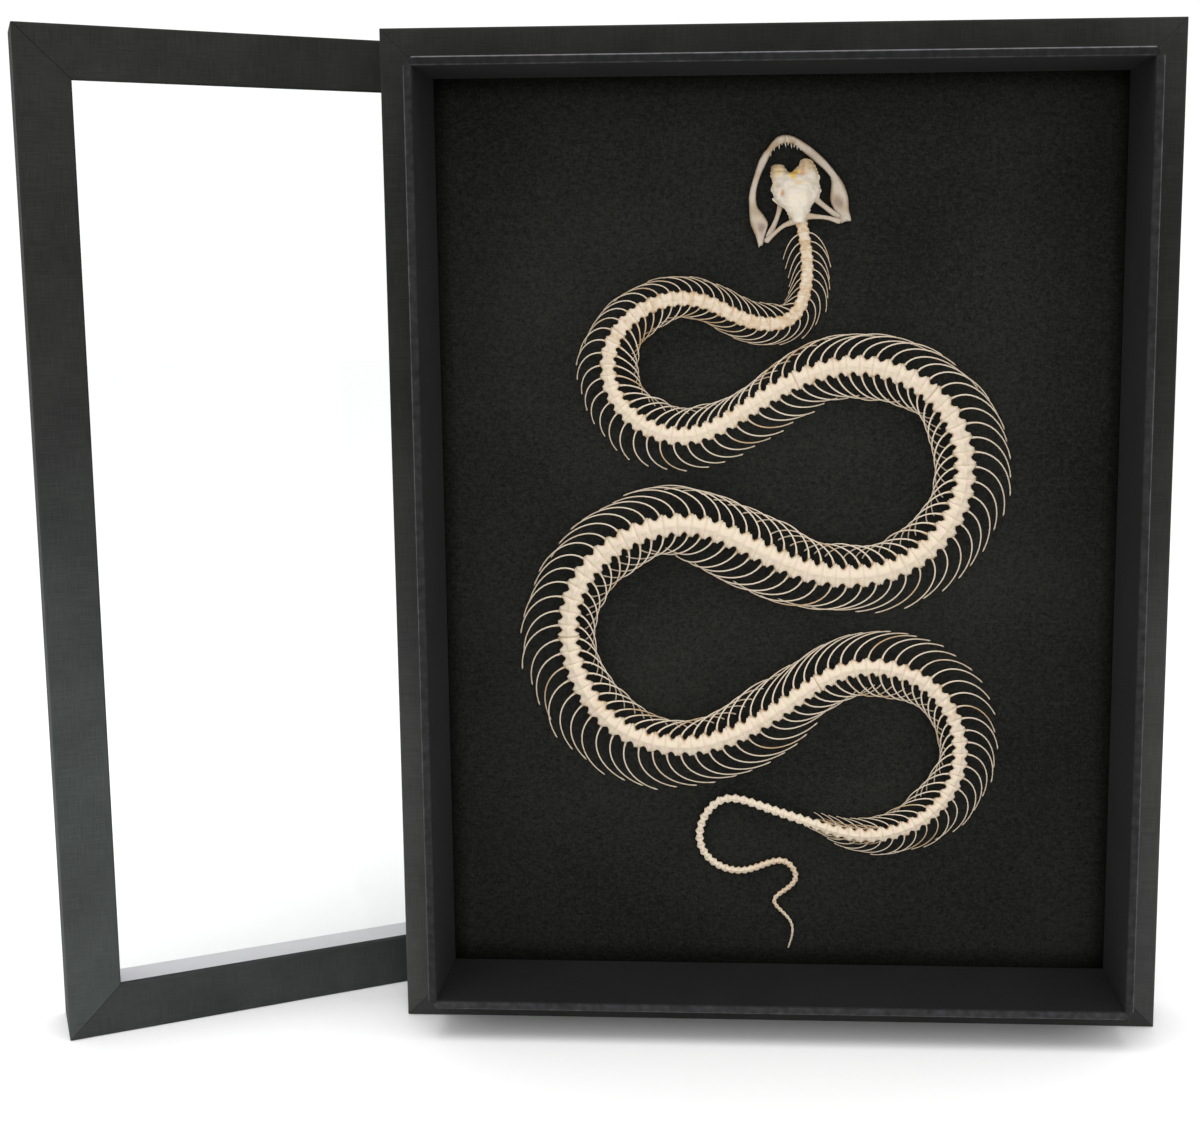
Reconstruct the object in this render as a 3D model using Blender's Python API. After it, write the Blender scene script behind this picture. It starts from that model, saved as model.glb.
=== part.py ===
"""Snake skeleton mounted in an upright display box, with the box's loose glazed lid.

Units are metres, +Z is up and the viewer stands on the -Y side. The origin is the centre of the
box's underside. The snake lies with its back to the viewer, head at the top, on the felt that lines
the back of the box. The lid stands on its edge behind the left side of the box, turned away from it.

The backbone follows one smooth curve, from the skull to the tail's tip. It is divided into lengths,
and each length of the trunk into a left and a right half: half of every vertebra, with its ribs.
"""

import math
import random

import bmesh
import bpy
import numpy as np
from mathutils import Matrix, Vector

MM = 0.001
GAP = 0.3 * MM                     # left between neighbouring pieces

# ---- Display box -------------------------------------------------------------------------------
BOX_WIDTH = 307 * MM
BOX_HEIGHT = 400 * MM
BOX_DEPTH = 25 * MM                # of the outer walls
WALL = 13.5 * MM                   # thickness of the outer walls
NECK_BOARD = 3.5 * MM              # thin boards inside the walls that the lid slides over
NECK_REACH = 24 * MM               # how far they stand out in front of the walls
FELT_DEPTH = 41 * MM               # from the neck's rim back to the felt
FELT = 2 * MM
BOX_FRONT = -BOX_DEPTH / 2
BOX_BACK = BOX_DEPTH / 2
RIM_Y = BOX_FRONT - NECK_REACH
FELT_Y = RIM_Y + FELT_DEPTH

# ---- Loose lid ---------------------------------------------------------------------------------
LID_FACE = 20.5 * MM               # width of the frame round the window
LID_LIP = 3 * MM                   # thickness of that frame where it overhangs the wall
LID_DEPTH = 30 * MM
PANE = 2 * MM
LID_CORNER = Vector((-284.8 * MM, -42.1 * MM, 0.0))   # foot of the free front edge
LID_TURN = math.radians(26.56)     # about the vertical, from the box's width

# ---- Backbone ----------------------------------------------------------------------------------
# Points that the middle of the backbone passes through, as X and Z in mm, from skull to tail tip.
ROUTE = [
    (9.2, 325.2), (11.5, 305.5), (4.5, 287.5), (-10.0, 286.5), (-29.0, 294.5), (-42.0, 295.5),
    (-66.0, 277.0), (-64.0, 256.5), (-40.0, 241.5), (-3.0, 258.0), (35.0, 269.0), (67.0, 251.0),
    (72.5, 216.0), (51.0, 190.0), (13.0, 187.0), (-9.5, 196.5), (-34.0, 205.5), (-80.0, 181.5),
    (-82.0, 146.5), (-66.0, 123.0), (-36.0, 114.5), (2.5, 131.0), (31.0, 147.0), (64.5, 137.0),
    (73.0, 102.5), (57.5, 82.5), (32.5, 76.5), (14.0, 81.0), (-6.5, 87.5), (-22.5, 89.5),
    (-31.5, 70.5), (-13.0, 59.0), (5.0, 62.0), (8.0, 55.5), (-1.0, 46.0), (5.2, 36.0), (5.8, 25.0),
]
# Sizes that change along the backbone: (distance from the skull, size), both in mm.
HEIGHT = [(0, 6.0), (60, 8.0), (150, 9.0), (700, 9.0), (780, 7.5), (820, 5.5), (860, 2.6),
          (900, 1.7), (970, 0.9)]                     # of the backbone's middle above the felt
HALF_WIDTH = [(0, 2.3), (50, 2.8), (130, 3.3), (155, 3.7), (230, 4.0), (310, 4.4), (400, 4.75),
              (490, 4.6), (550, 4.25), (620, 4.2), (660, 3.75), (700, 3.55), (730, 3.2), (800, 3.1),
              (822, 2.1), (849, 1.65), (900, 1.4), (922, 1.25), (950, 0.8), (970, 0.45)]
PITCH = [(0, 3.4), (36, 3.8), (110, 4.4), (206, 5.1), (300, 5.35), (365, 5.6), (450, 5.65),
         (546, 5.4), (631, 5.4), (690, 5.1), (740, 4.7), (820, 4.6), (821, 3.5), (862, 3.3),
         (886, 3.05), (912, 2.5), (970, 2.0)]        # length of one vertebra
# How far the rib tips stand out from the backbone's middle, and how far back they sweep from their
# roots, on the animal's left (-1) and its right (1).
RIB_REACH = {
    -1: [(0, 7), (8, 9), (20, 7), (42, 9), (84, 8.5), (122, 12.3), (160, 13.8), (205, 15), (225, 13.5),
         (240, 15.3), (265, 12.5), (290, 14.5), (325, 13), (350, 14.7), (365, 13.3), (400, 15.8),
         (425, 13), (490, 13), (520, 18.5), (560, 20), (610, 18.5), (640, 15), (665, 13), (680, 14.5),
         (720, 10), (745, 12), (790, 6), (805, 4.7), (820, 3.2)],
    1: [(0, 6.5), (8, 8.8), (25, 10.2), (40, 7.8), (65, 9), (80, 9.8), (115, 13.6), (170, 13.2),
        (195, 9), (215, 10), (245, 12.2), (280, 13.5), (305, 18.3), (335, 16.5), (360, 16), (378, 14),
        (405, 16), (432, 18.3), (455, 14.5), (500, 15.2), (530, 12.5), (560, 13.3), (605, 12.2),
        (622, 14.3), (645, 11.5), (672, 10.8), (700, 14.5), (722, 15), (740, 13), (770, 12), (800, 7.5),
        (820, 3.4)],
}
RIB_SWEEP = {
    -1: [(0, 7), (25, 7), (45, 8), (84, 10), (122, 10), (160, 15), (196, 19), (260, 18), (440, 21),
         (490, 21), (520, 18), (560, 20), (600, 22), (640, 20), (700, 15), (757, 14), (800, 8), (820, 5)],
    1: [(0, 8), (40, 10), (60, 11), (100, 13), (150, 15), (195, 13), (215, 15), (260, 18), (310, 18),
        (365, 19), (425, 20), (500, 17), (620, 17), (690, 16), (710, 13), (770, 12), (800, 8), (820, 5)],
}
TRUNK_END = 820.0                  # mm along the backbone, where the tail begins
TRUNK_VERTEBRAE = 166
TAIL_VERTEBRAE = 55
TRUNK_LENGTHS = 10                 # the first of them is the neck
TAIL_LENGTHS = 3
FIRST_RIB = 2                      # the foremost vertebrae carry none
START_AT = 1.5                     # mm from the route's first point to the first vertebra
WAIST = 0.68                       # width between two joints of the trunk, as a share of the widest
TAIL_WAIST = 0.6
CREST = 0.95                       # heights above and below the middle, as shares of half the width
CREST_DIP = 0.68
KEEL = 0.85
SIDE_DROP = 0.1
RIB_ROOT = 0.55                    # where the rib leaves the vertebra, as a share of half the width
BEND_SCALE = 50.0                  # mm; a bend tighter than about this opens or closes the ribs fully
RIB_TURN_OUT = math.radians(80)    # how far a rib curls, outside and inside a bend
RIB_TURN_IN = math.radians(104)
RIB_THICK = 0.46                   # mm, from a rib's middle to its three edges
RIB_CLEAR = 0.7                    # mm past the vertebra's side, where a rib has its full slimness
RIB_STEEPEST = 0.6                 # sine of the curl by which a short rib has it at the latest
RIB_ELBOW = 0.46                   # of the curl beyond there, where the rib's middle section stands
RIB_EDGES = (255, 15, 135)         # degrees from forward, of the edges below, in front and behind
RIB_BEHIND = 0.22                  # of a vertebra's length, from its front joint to its rib
TIP_LIFT = 0.5                     # mm, of the rib tips above the felt
RIB_UNEVEN = 0.04                  # share by which neighbouring ribs differ
SEED = 7
CURVE_POINTS = 8000
SMOOTHING = 400                    # points over which the bends are evened out, about 48 mm

# ---- Skull -------------------------------------------------------------------------------------
# Each section: Z, left X, right X, underside and top above the felt, in mm.
CRANIUM = [
    (345.0, -2.3, 15.2, 4.4, 7.0), (343.0, -2.9, 16.4, 3.6, 8.8), (341.0, -2.1, 16.4, 3.1, 9.8),
    (339.5, -1.9, 16.8, 3.0, 10.3), (337.9, -2.5, 17.4, 2.9, 10.6), (336.0, -1.5, 16.8, 2.9, 10.8),
    (334.4, -2.1, 16.2, 3.0, 10.9), (333.0, -0.5, 14.1, 3.0, 10.8), (331.4, 3.2, 12.9, 3.1, 10.5),
    (329.5, 4.0, 12.5, 3.3, 9.9), (326.8, 3.8, 12.4, 3.5, 9.2), (325.0, 4.4, 11.8, 3.9, 8.5),
    (324.4, 5.5, 10.6, 4.3, 7.9),
]
LEFT_PREFRONTAL = [
    (347.1, -2.2, 1.5, 4.8, 6.0), (346.3, -2.5, 2.4, 4.3, 6.8), (345.3, -2.5, 3.3, 4.2, 7.2),
]
RIGHT_PREFRONTAL = [
    (349.8, 9.6, 12.3, 4.8, 5.8), (349.1, 8.8, 13.4, 4.4, 6.7), (347.0, 8.3, 14.8, 4.2, 7.2),
    (345.3, 6.4, 15.3, 4.2, 7.4),
]
# Each section of a jaw: outer X and Z, inner X and Z, underside and top above the felt, in mm.
LEFT_JAW = [
    (2.7, 359.0, 3.5, 355.9, 0.4, 2.9), (-0.8, 357.6, 0.5, 355.0, 0.4, 3.0),
    (-3.5, 354.8, -1.9, 353.3, 0.4, 3.1),
    (-7.0, 349.9, -4.2, 348.7, 0.4, 3.2), (-9.5, 343.0, -7.0, 342.9, 0.4, 3.3),
    (-11.3, 336.4, -8.5, 337.1, 0.4, 3.6), (-11.3, 331.4, -8.1, 331.7, 0.4, 4.1),
    (-11.1, 327.7, -5.5, 328.0, 0.4, 4.4), (-10.6, 324.4, -3.9, 325.1, 0.4, 4.4),
    (-8.7, 319.9, -4.5, 321.8, 0.4, 3.9), (-7.4, 315.3, -6.1, 316.1, 0.6, 2.8),
]
RIGHT_JAW = [
    (3.1, 359.0, 3.9, 355.9, 0.4, 2.9), (6.8, 357.8, 5.6, 355.5, 0.4, 3.0),
    (9.4, 356.6, 7.6, 354.7, 0.4, 3.1),
    (13.5, 354.5, 11.2, 352.0, 0.4, 3.2), (18.1, 350.4, 14.9, 349.3, 0.4, 3.3),
    (22.4, 345.3, 19.1, 345.8, 0.4, 3.6), (25.6, 340.3, 20.9, 341.1, 0.4, 4.1),
    (27.5, 334.9, 20.5, 334.6, 0.4, 4.4), (28.0, 329.8, 21.6, 330.9, 0.4, 3.9),
    (29.2, 325.6, 24.7, 324.4, 0.6, 2.8),
]
# Each tooth of a jaw: how far along its first sections, from 0 at the chin.
LEFT_TEETH = (0.35, 0.95, 1.6, 2.3)
RIGHT_TEETH = (0.35, 0.95, 1.6, 2.2)
TOOTH_LENGTH = 2.6
TOOTH_RADIUS = 0.55
TOOTH_TIP = 0.15                   # radius of the tip, as a share of the root's
TOOTH_LEAN = Vector((0.0, -0.35, -1.0))               # back towards the throat and up a little
TOOTH_SEAT = 0.35                  # how deep in the jaw the teeth are rooted, as a share of its width
STRUT_SIDES = 5
# Each section of a strut: X, Z, height above the felt, half its width and thickness, in mm.
LEFT_QUADRATE = [(3.8, 323.6, 6.4, 1.0, 0.9), (-0.2, 320.8, 5.4, 0.7, 0.7),
                 (-4.2, 317.7, 4.6, 0.95, 0.85)]
RIGHT_QUADRATE = [(13.6, 327.0, 6.6, 1.1, 0.9), (17.3, 326.6, 6.0, 0.75, 0.7),
                  (21.6, 325.9, 5.2, 0.9, 0.75), (24.8, 324.5, 5.0, 0.6, 0.6)]
LEFT_PTERYGOID = [(0.4, 333.0, 2.6, 1.1, 0.6), (-1.2, 326.4, 2.9, 0.9, 0.6),
                  (-2.5, 321.0, 2.9, 0.8, 0.5)]
RIGHT_PTERYGOID = [(15.4, 333.6, 2.6, 1.1, 0.6), (18.8, 330.6, 2.9, 0.9, 0.6),
                   (21.2, 328.8, 2.9, 0.7, 0.5)]

# ---- Finishes: colour, roughness ------------------------------------------------------------------
CLOTH = ((0.022, 0.024, 0.026, 1), 0.8)
FELT_CLOTH = ((0.012, 0.014, 0.013, 1), 0.95)
GLASS = ((0.9, 0.93, 0.92, 0.2), 0.05)
BONE = ((0.78, 0.70, 0.56, 1), 0.55)
NECK_BONE = ((0.72, 0.58, 0.38, 1), 0.55)
SKULL_BONE = ((0.84, 0.80, 0.72, 1), 0.5)
JAW_BONE = ((0.66, 0.56, 0.43, 1), 0.5)


def clear_scene():
    for thing in list(bpy.data.objects):
        bpy.data.objects.remove(thing, do_unlink=True)


def finish(name, colour, roughness):
    """A plain material for one sub-part."""
    material = bpy.data.materials.new(name + "_finish")
    material.use_nodes = True
    shader = material.node_tree.nodes["Principled BSDF"]
    shader.inputs["Base Color"].default_value = colour
    shader.inputs["Roughness"].default_value = roughness
    shader.inputs["Alpha"].default_value = colour[3]
    material.diffuse_color = colour
    return material


def add_object(name, bm, collection, look, parent=None):
    """Make an object of a bmesh, with its normals facing out."""
    bmesh.ops.recalc_face_normals(bm, faces=bm.faces)
    mesh = bpy.data.meshes.new(name)
    bm.to_mesh(mesh)
    bm.free()
    mesh.materials.append(finish(name, *look))
    thing = bpy.data.objects.new(name, mesh)
    thing.parent = parent
    collection.objects.link(thing)
    return thing


# ---- Box and lid ---------------------------------------------------------------------------------
def add_slab(name, size, centre, collection, look, parent=None):
    bm = bmesh.new()
    bmesh.ops.create_cube(bm, size=1.0)
    place = Matrix.LocRotScale(Vector(centre), None, Vector(size))
    bmesh.ops.transform(bm, matrix=place, verts=bm.verts)
    return add_object(name, bm, collection, look, parent)


def add_rail(name, side, outline, width, height, collection, look, parent=None):
    """One mitred side of an upright frame, centred on X and standing on Z = 0.

    outline is the rail's section: points (inward from the frame's edge, Y).
    """
    turn = {"bottom": 0, "right": 1, "top": 2, "left": 3}[side]
    length, reach = (width, height) if turn % 2 == 0 else (height, width)
    bm = bmesh.new()
    ends = []
    for way in (-1, 1):
        points = [(way * (length / 2 - inward - GAP / 2), y, inward - reach / 2) for inward, y in outline]
        ends.append([bm.verts.new(point) for point in points])
    for ring in ends:
        bm.faces.new(ring)
    bmesh.ops.bridge_loops(bm, edges=bm.edges)
    matrix = Matrix.Translation((0, 0, height / 2)) @ Matrix.Rotation(-turn * math.pi / 2, 4, "Y")
    bmesh.ops.transform(bm, matrix=matrix, verts=bm.verts)
    return add_object(name, bm, collection, look, parent)


def build_box(collection):
    wall = [(0, BOX_FRONT), (WALL, BOX_FRONT), (WALL, BOX_BACK), (0, BOX_BACK)]
    neck_outer = WALL + GAP
    neck_inner = neck_outer + NECK_BOARD
    board_y = FELT_Y + FELT + GAP
    neck_back = board_y - GAP
    neck = [(neck_outer, RIM_Y), (neck_inner, RIM_Y), (neck_inner, neck_back), (neck_outer, neck_back)]
    for side in ("bottom", "top", "left", "right"):
        add_rail("box_wall_" + side, side, wall, BOX_WIDTH, BOX_HEIGHT, collection, CLOTH)
        add_rail("box_neck_" + side, side, neck, BOX_WIDTH, BOX_HEIGHT, collection, CLOTH)
    middle_z = BOX_HEIGHT / 2
    inside = (BOX_WIDTH - 2 * neck_outer, BOX_HEIGHT - 2 * neck_outer)
    add_slab("box_back", (inside[0], BOX_BACK - board_y, inside[1]),
             (0, (BOX_BACK + board_y) / 2, middle_z), collection, CLOTH)
    clear = 2 * (neck_inner + GAP)
    add_slab("felt", (BOX_WIDTH - clear, FELT, BOX_HEIGHT - clear),
             (0, FELT_Y + FELT / 2, middle_z), collection, FELT_CLOTH)


def build_lid(collection):
    """The lid's own X runs along its width from the free edge, and its face looks along -Y."""
    frame = bpy.data.objects.new("lid_frame_guide", None)
    frame.matrix_world = Matrix.Translation(LID_CORNER) @ Matrix.Rotation(LID_TURN, 4, "Z") @ \
        Matrix.Translation((BOX_WIDTH / 2, 0, 0))
    collection.objects.link(frame)
    rail = [(0, 0), (LID_FACE, 0), (LID_FACE, LID_LIP), (WALL, LID_LIP), (WALL, LID_DEPTH), (0, LID_DEPTH)]
    for side in ("bottom", "top", "left", "right"):
        add_rail("lid_rail_" + side, side, rail, BOX_WIDTH, BOX_HEIGHT, collection, CLOTH, frame)
    clear = 2 * (WALL + GAP)
    add_slab("lid_pane", (BOX_WIDTH - clear, PANE, BOX_HEIGHT - clear),
             (0, LID_LIP + GAP + PANE / 2, BOX_HEIGHT / 2), collection, GLASS, frame)


# ---- Backbone ------------------------------------------------------------------------------------
def along(table, distance):
    """Read a (distance, size) table at a distance, in mm."""
    return float(np.interp(distance, [row[0] for row in table], [row[1] for row in table]))


def natural_spline(points, count):
    """Points along the natural cubic spline through the given ones, over their chord lengths."""
    points = np.array(points, float)
    steps = np.hypot(*np.diff(points, axis=0).T)
    knots = np.concatenate(([0.0], np.cumsum(steps)))
    size = len(points)
    matrix = np.eye(size)
    right = np.zeros((size, 2))
    slopes = np.diff(points, axis=0) / steps[:, None]
    for i in range(1, size - 1):
        matrix[i, i - 1:i + 2] = steps[i - 1], 2 * (steps[i - 1] + steps[i]), steps[i]
        right[i] = 6 * (slopes[i] - slopes[i - 1])
    bends = np.linalg.solve(matrix, right)
    places = np.linspace(0, knots[-1], count)
    span = np.clip(np.searchsorted(knots, places, side="right") - 1, 0, size - 2)
    step = steps[span][:, None]
    near = (places - knots[span])[:, None] / step
    far = 1 - near
    curve = far * points[span] + near * points[span + 1]
    return curve + ((far ** 3 - far) * bends[span] + (near ** 3 - near) * bends[span + 1]) * step ** 2 / 6


class Backbone:
    """The curve of the backbone, and the frame of the body at any distance along it."""

    def __init__(self):
        self.curve = natural_spline(ROUTE, CURVE_POINTS)
        steps = np.hypot(*np.diff(self.curve, axis=0).T)
        self.distance = np.concatenate(([0.0], np.cumsum(steps)))
        self.length = float(self.distance[-1])
        heading = np.unwrap(np.arctan2(*np.gradient(self.curve, self.distance, axis=0).T[::-1]))
        self.heading = heading
        turning = np.pad(np.gradient(heading, self.distance), SMOOTHING, mode="edge")
        even = np.convolve(turning, np.ones(SMOOTHING) / SMOOTHING, mode="same")
        self.turning = even[SMOOTHING:-SMOOTHING]

    def read(self, values, distance):
        return float(np.interp(distance, self.distance, values))

    def tailward(self, distance):
        angle = self.read(self.heading, distance)
        return Vector((math.cos(angle), 0, math.sin(angle)))

    def sideways(self, distance, side):
        """Unit vector out of the body: side is -1 for the animal's left and 1 for its right."""
        ahead = self.tailward(distance)
        return Vector((-ahead.z, 0, ahead.x)) * side

    def outside(self, distance, side):
        """1 on the outside of a tight bend, -1 on its inside and 0 where the body is straight."""
        return math.tanh(-self.read(self.turning, distance) * side * BEND_SCALE)

    def place(self, distance, side, out, up):
        """A point, in metres: out from the backbone's middle to one side, and up from it."""
        x = self.read(self.curve[:, 0], distance)
        z = self.read(self.curve[:, 1], distance)
        y = FELT_Y / MM - along(HEIGHT, distance) - up
        return (Vector((x, y, z)) + self.sideways(distance, side) * out) * MM


def joints_between_vertebrae(start, end, count):
    """Distances of the count + 1 joints, with each vertebra as long as PITCH says, evened out."""
    places = np.linspace(start, end, 2000)
    density = np.array([1 / along(PITCH, place) for place in places])
    tally = np.concatenate(([0.0], np.cumsum((density[1:] + density[:-1]) / 2 * np.diff(places))))
    return [float(np.interp(i * tally[-1] / count, tally, places)) for i in range(count + 1)]


def rib_sections(spine, distance, side, unevenness):
    """The rib's sections, root to tip: each its centre, its forward and its upward direction."""
    half = along(HALF_WIDTH, distance)
    outside = spine.outside(distance, side)
    reach = along(RIB_REACH[side], distance) * (1 + unevenness[0])
    root = RIB_ROOT * half
    drop = along(HEIGHT, distance) - SIDE_DROP * half - TIP_LIFT
    turn = RIB_TURN_OUT + (RIB_TURN_IN - RIB_TURN_OUT) * (1 - outside) / 2
    span = reach - root
    sweep = along(RIB_SWEEP[side], distance) * (1 + unevenness[1])
    fall = drop / (1 - math.cos(turn))
    length = math.hypot(sweep, fall)
    out = spine.sideways(distance, side)
    back = (spine.tailward(distance) * sweep + Vector((0, fall, 0))) / length
    rise = (spine.tailward(distance) * fall - Vector((0, sweep, 0))) / length
    start = spine.place(distance, side, root, -SIDE_DROP * half)
    first = math.asin(min(RIB_STEEPEST, (half + RIB_CLEAR - root) / span))
    sections = []
    for angle in (first, first + RIB_ELBOW * (turn - first), turn):
        centre = start + (out * span * math.sin(angle) + back * length * (1 - math.cos(angle))) * MM
        tangent = (out * span * math.cos(angle) + back * length * math.sin(angle)).normalized()
        forward = rise.cross(tangent).normalized()
        if forward.dot(back) > 0:
            forward = -forward
        sections.append((centre, forward, rise))
    return sections


def grow_rib(bm, face, corners, sections):
    """Replace a face of the vertebra by a three-sided rib.

    corners are the face's vertices: the keel's, the joint's and the waist's, in this order.
    """
    bm.faces.remove(face)
    ring = corners
    for centre, forward, rise in sections[:-1]:
        new = []
        for degrees in RIB_EDGES:
            angle = math.radians(degrees)
            spread = forward * math.cos(angle) + rise * math.sin(angle)
            new.append(bm.verts.new(centre + spread * RIB_THICK * MM))
        for i in range(3):
            j = (i + 1) % 3
            bm.faces.new((ring[i], ring[j], new[j], new[i]))
        ring = new
    tip = bm.verts.new(sections[-1][0])
    for i in range(3):
        bm.faces.new((ring[i], ring[(i + 1) % 3], tip))


def build_half_length(name, spine, joints, side, first, collection, look, uneven):
    """Half of the vertebrae between the given joints, with the ribs of that side."""
    bm = bmesh.new()
    inner = GAP / 2 / MM
    stations = list(joints)
    stations[0] += inner
    stations[-1] -= inner
    rings = []
    for i, distance in enumerate(stations):
        half = along(HALF_WIDTH, distance)
        spots = {"crest": (inner, CREST_DIP * half), "joint": (half, -SIDE_DROP * half),
                 "keel": (inner, -KEEL * half)}
        rings.append({key: bm.verts.new(spine.place(distance, side, *spot)) for key, spot in spots.items()})
        if i + 1 == len(stations):
            break
        middle = (distance + stations[i + 1]) / 2
        half = along(HALF_WIDTH, middle)
        rings[-1]["top"] = bm.verts.new(spine.place(middle, side, inner, CREST * half))
        rings[-1]["waist"] = bm.verts.new(spine.place(middle, side, WAIST * half, -SIDE_DROP * half))
    for number, (here, there) in enumerate(zip(rings, rings[1:])):
        bm.faces.new((here["crest"], here["joint"], here["waist"], here["top"]))
        bm.faces.new((here["top"], here["waist"], there["joint"], there["crest"]))
        rib_face = bm.faces.new((here["keel"], here["joint"], here["waist"]))
        bm.faces.new((here["keel"], here["waist"], there["keel"]))
        bm.faces.new((there["keel"], here["waist"], there["joint"]))
        bm.faces.new((here["crest"], here["top"], there["crest"], there["keel"], here["keel"]))
        if first + number >= FIRST_RIB:
            distance = stations[number] + RIB_BEHIND * (stations[number + 1] - stations[number])
            corners = [here["keel"], here["joint"], here["waist"]]
            grow_rib(bm, rib_face, corners, rib_sections(spine, distance, side, uneven[first + number]))
    for ring in (rings[0], rings[-1]):
        bm.faces.new((ring["crest"], ring["joint"], ring["keel"]))
    return add_object(name, bm, collection, look)


def build_tail_length(name, spine, joints, collection, look):
    """Whole tail vertebrae between the given joints; they carry no ribs."""
    bm = bmesh.new()
    stations = list(joints)
    stations[0] += GAP / 2 / MM
    stations[-1] -= GAP / 2 / MM
    rings = []
    for i, distance in enumerate(stations):
        half = along(HALF_WIDTH, distance)
        spots = {"top": (1, 0, CREST_DIP * half), "right": (1, half, 0),
                 "keel": (1, 0, -KEEL * half), "left": (-1, half, 0)}
        rings.append({key: bm.verts.new(spine.place(distance, *spot)) for key, spot in spots.items()})
        if i + 1 < len(stations):
            middle = (distance + stations[i + 1]) / 2
            waist = TAIL_WAIST * along(HALF_WIDTH, middle)
            for key, side in (("right", 1), ("left", -1)):
                rings[-1][key + "_waist"] = bm.verts.new(spine.place(middle, side, waist, 0))
    for here, there in zip(rings, rings[1:]):
        for key in ("right", "left"):
            waist = here[key + "_waist"]
            for edge in ("top", "keel"):
                bm.faces.new((here[edge], here[key], waist))
                bm.faces.new((here[edge], waist, there[edge]))
                bm.faces.new((there[edge], waist, there[key]))
    for ring in (rings[0], rings[-1]):
        bm.faces.new((ring["top"], ring["right"], ring["keel"], ring["left"]))
    return add_object(name, bm, collection, look)


def build_backbone(collection):
    spine = Backbone()
    rng = random.Random(SEED)
    joints = joints_between_vertebrae(START_AT, TRUNK_END, TRUNK_VERTEBRAE)
    cuts = [round(i * TRUNK_VERTEBRAE / TRUNK_LENGTHS) for i in range(TRUNK_LENGTHS + 1)]
    for side, word in ((-1, "left"), (1, "right")):
        uneven = [[rng.uniform(-RIB_UNEVEN, RIB_UNEVEN) for _ in range(2)] for _ in joints]
        for i, (first, last) in enumerate(zip(cuts, cuts[1:])):
            name = "neck_" + word if i == 0 else "trunk_%d_%s" % (i, word)
            look = NECK_BONE if i == 0 else BONE
            build_half_length(name, spine, joints[first:last + 1], side, first, collection, look, uneven)
    joints = joints_between_vertebrae(TRUNK_END, spine.length, TAIL_VERTEBRAE)
    cuts = [round(i * TAIL_VERTEBRAE / TAIL_LENGTHS) for i in range(TAIL_LENGTHS + 1)]
    for i, (first, last) in enumerate(zip(cuts, cuts[1:])):
        build_tail_length("tail_%d" % (i + 1), spine, joints[first:last + 1], collection, BONE)


# ---- Skull ---------------------------------------------------------------------------------------
def above_felt(x, height, z):
    """A point given by its height above the felt, in mm."""
    return Vector((x, FELT_Y / MM - height, z)) * MM


def add_loft(name, rings, collection, look):
    """A closed body through rings of points that all have the same number of points."""
    bm = bmesh.new()
    loops = [[bm.verts.new(point) for point in ring] for ring in rings]
    for here, there in zip(loops, loops[1:]):
        for i in range(len(here)):
            j = (i + 1) % len(here)
            bm.faces.new((here[i], here[j], there[j], there[i]))
    bm.faces.new(loops[0])
    bm.faces.new(loops[-1])
    return add_object(name, bm, collection, look)


def dome(section):
    """Eight points round a flat-bottomed dome, across the skull."""
    z, left, right, bottom, top = section
    middle, half, rise = (left + right) / 2, (right - left) / 2, top - bottom
    right = [(0.4, 0.95), (0.86, 0.66), (1.0, 0.34), (0.62, 0.0)]
    shape = [(-across, up) for across, up in reversed(right)] + right
    return [above_felt(middle + across * half, bottom + up * rise, z) for across, up in shape]


def jaw_ring(section):
    """Six points round a jaw, between its outer and its inner edge."""
    outer_x, outer_z, inner_x, inner_z, bottom, top = section
    rise = top - bottom
    shape = [(0.25, 0.0), (0.0, 0.45), (0.2, 0.95), (0.62, 1.0), (1.0, 0.5), (0.75, 0.0)]
    return [above_felt(outer_x + (inner_x - outer_x) * across, bottom + up * rise,
                       outer_z + (inner_z - outer_z) * across) for across, up in shape]


def strut_rings(sections):
    """Rings round the sections of a strut, square to its run."""
    centres = [above_felt(x, height, z) for x, z, height, _, _ in sections]
    rings = []
    for i, (_, _, _, half, thick) in enumerate(sections):
        run = (centres[min(i + 1, len(centres) - 1)] - centres[max(i - 1, 0)]).normalized()
        across = run.cross(Vector((0, 1, 0))).normalized()
        up = across.cross(run)
        angles = [2 * math.pi * k / STRUT_SIDES for k in range(STRUT_SIDES)]
        rings.append([centres[i] + (across * math.cos(a) * half + up * math.sin(a) * thick) * MM
                      for a in angles])
    return rings


def teeth_cutter(name, sections, places, cutters):
    """Small back-curved teeth along the inner edge of a jaw's front."""
    bm = bmesh.new()
    for place in places:
        i = int(place)
        share = place - i
        here = [a + (b - a) * share for a, b in zip(sections[i], sections[i + 1])]
        edge = above_felt(here[2], (here[4] + here[5]) / 2, here[3])
        root = edge.lerp(above_felt(here[0], (here[4] + here[5]) / 2, here[1]), TOOTH_SEAT)
        tooth = bmesh.ops.create_cone(bm, cap_ends=True, segments=4, radius1=TOOTH_RADIUS * MM,
                                      radius2=TOOTH_TIP * TOOTH_RADIUS * MM, depth=TOOTH_LENGTH * MM)
        turn = TOOTH_LEAN.to_track_quat("Z", "Y").to_matrix().to_4x4()
        move = Matrix.Translation(root + TOOTH_LEAN.normalized() * TOOTH_LENGTH / 2 * MM)
        bmesh.ops.transform(bm, matrix=move @ turn, verts=tooth["verts"])
    cutter = add_object(name, bm, cutters, SKULL_BONE)
    cutter.hide_render = True
    cutter.display_type = "WIRE"
    return cutter


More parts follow.
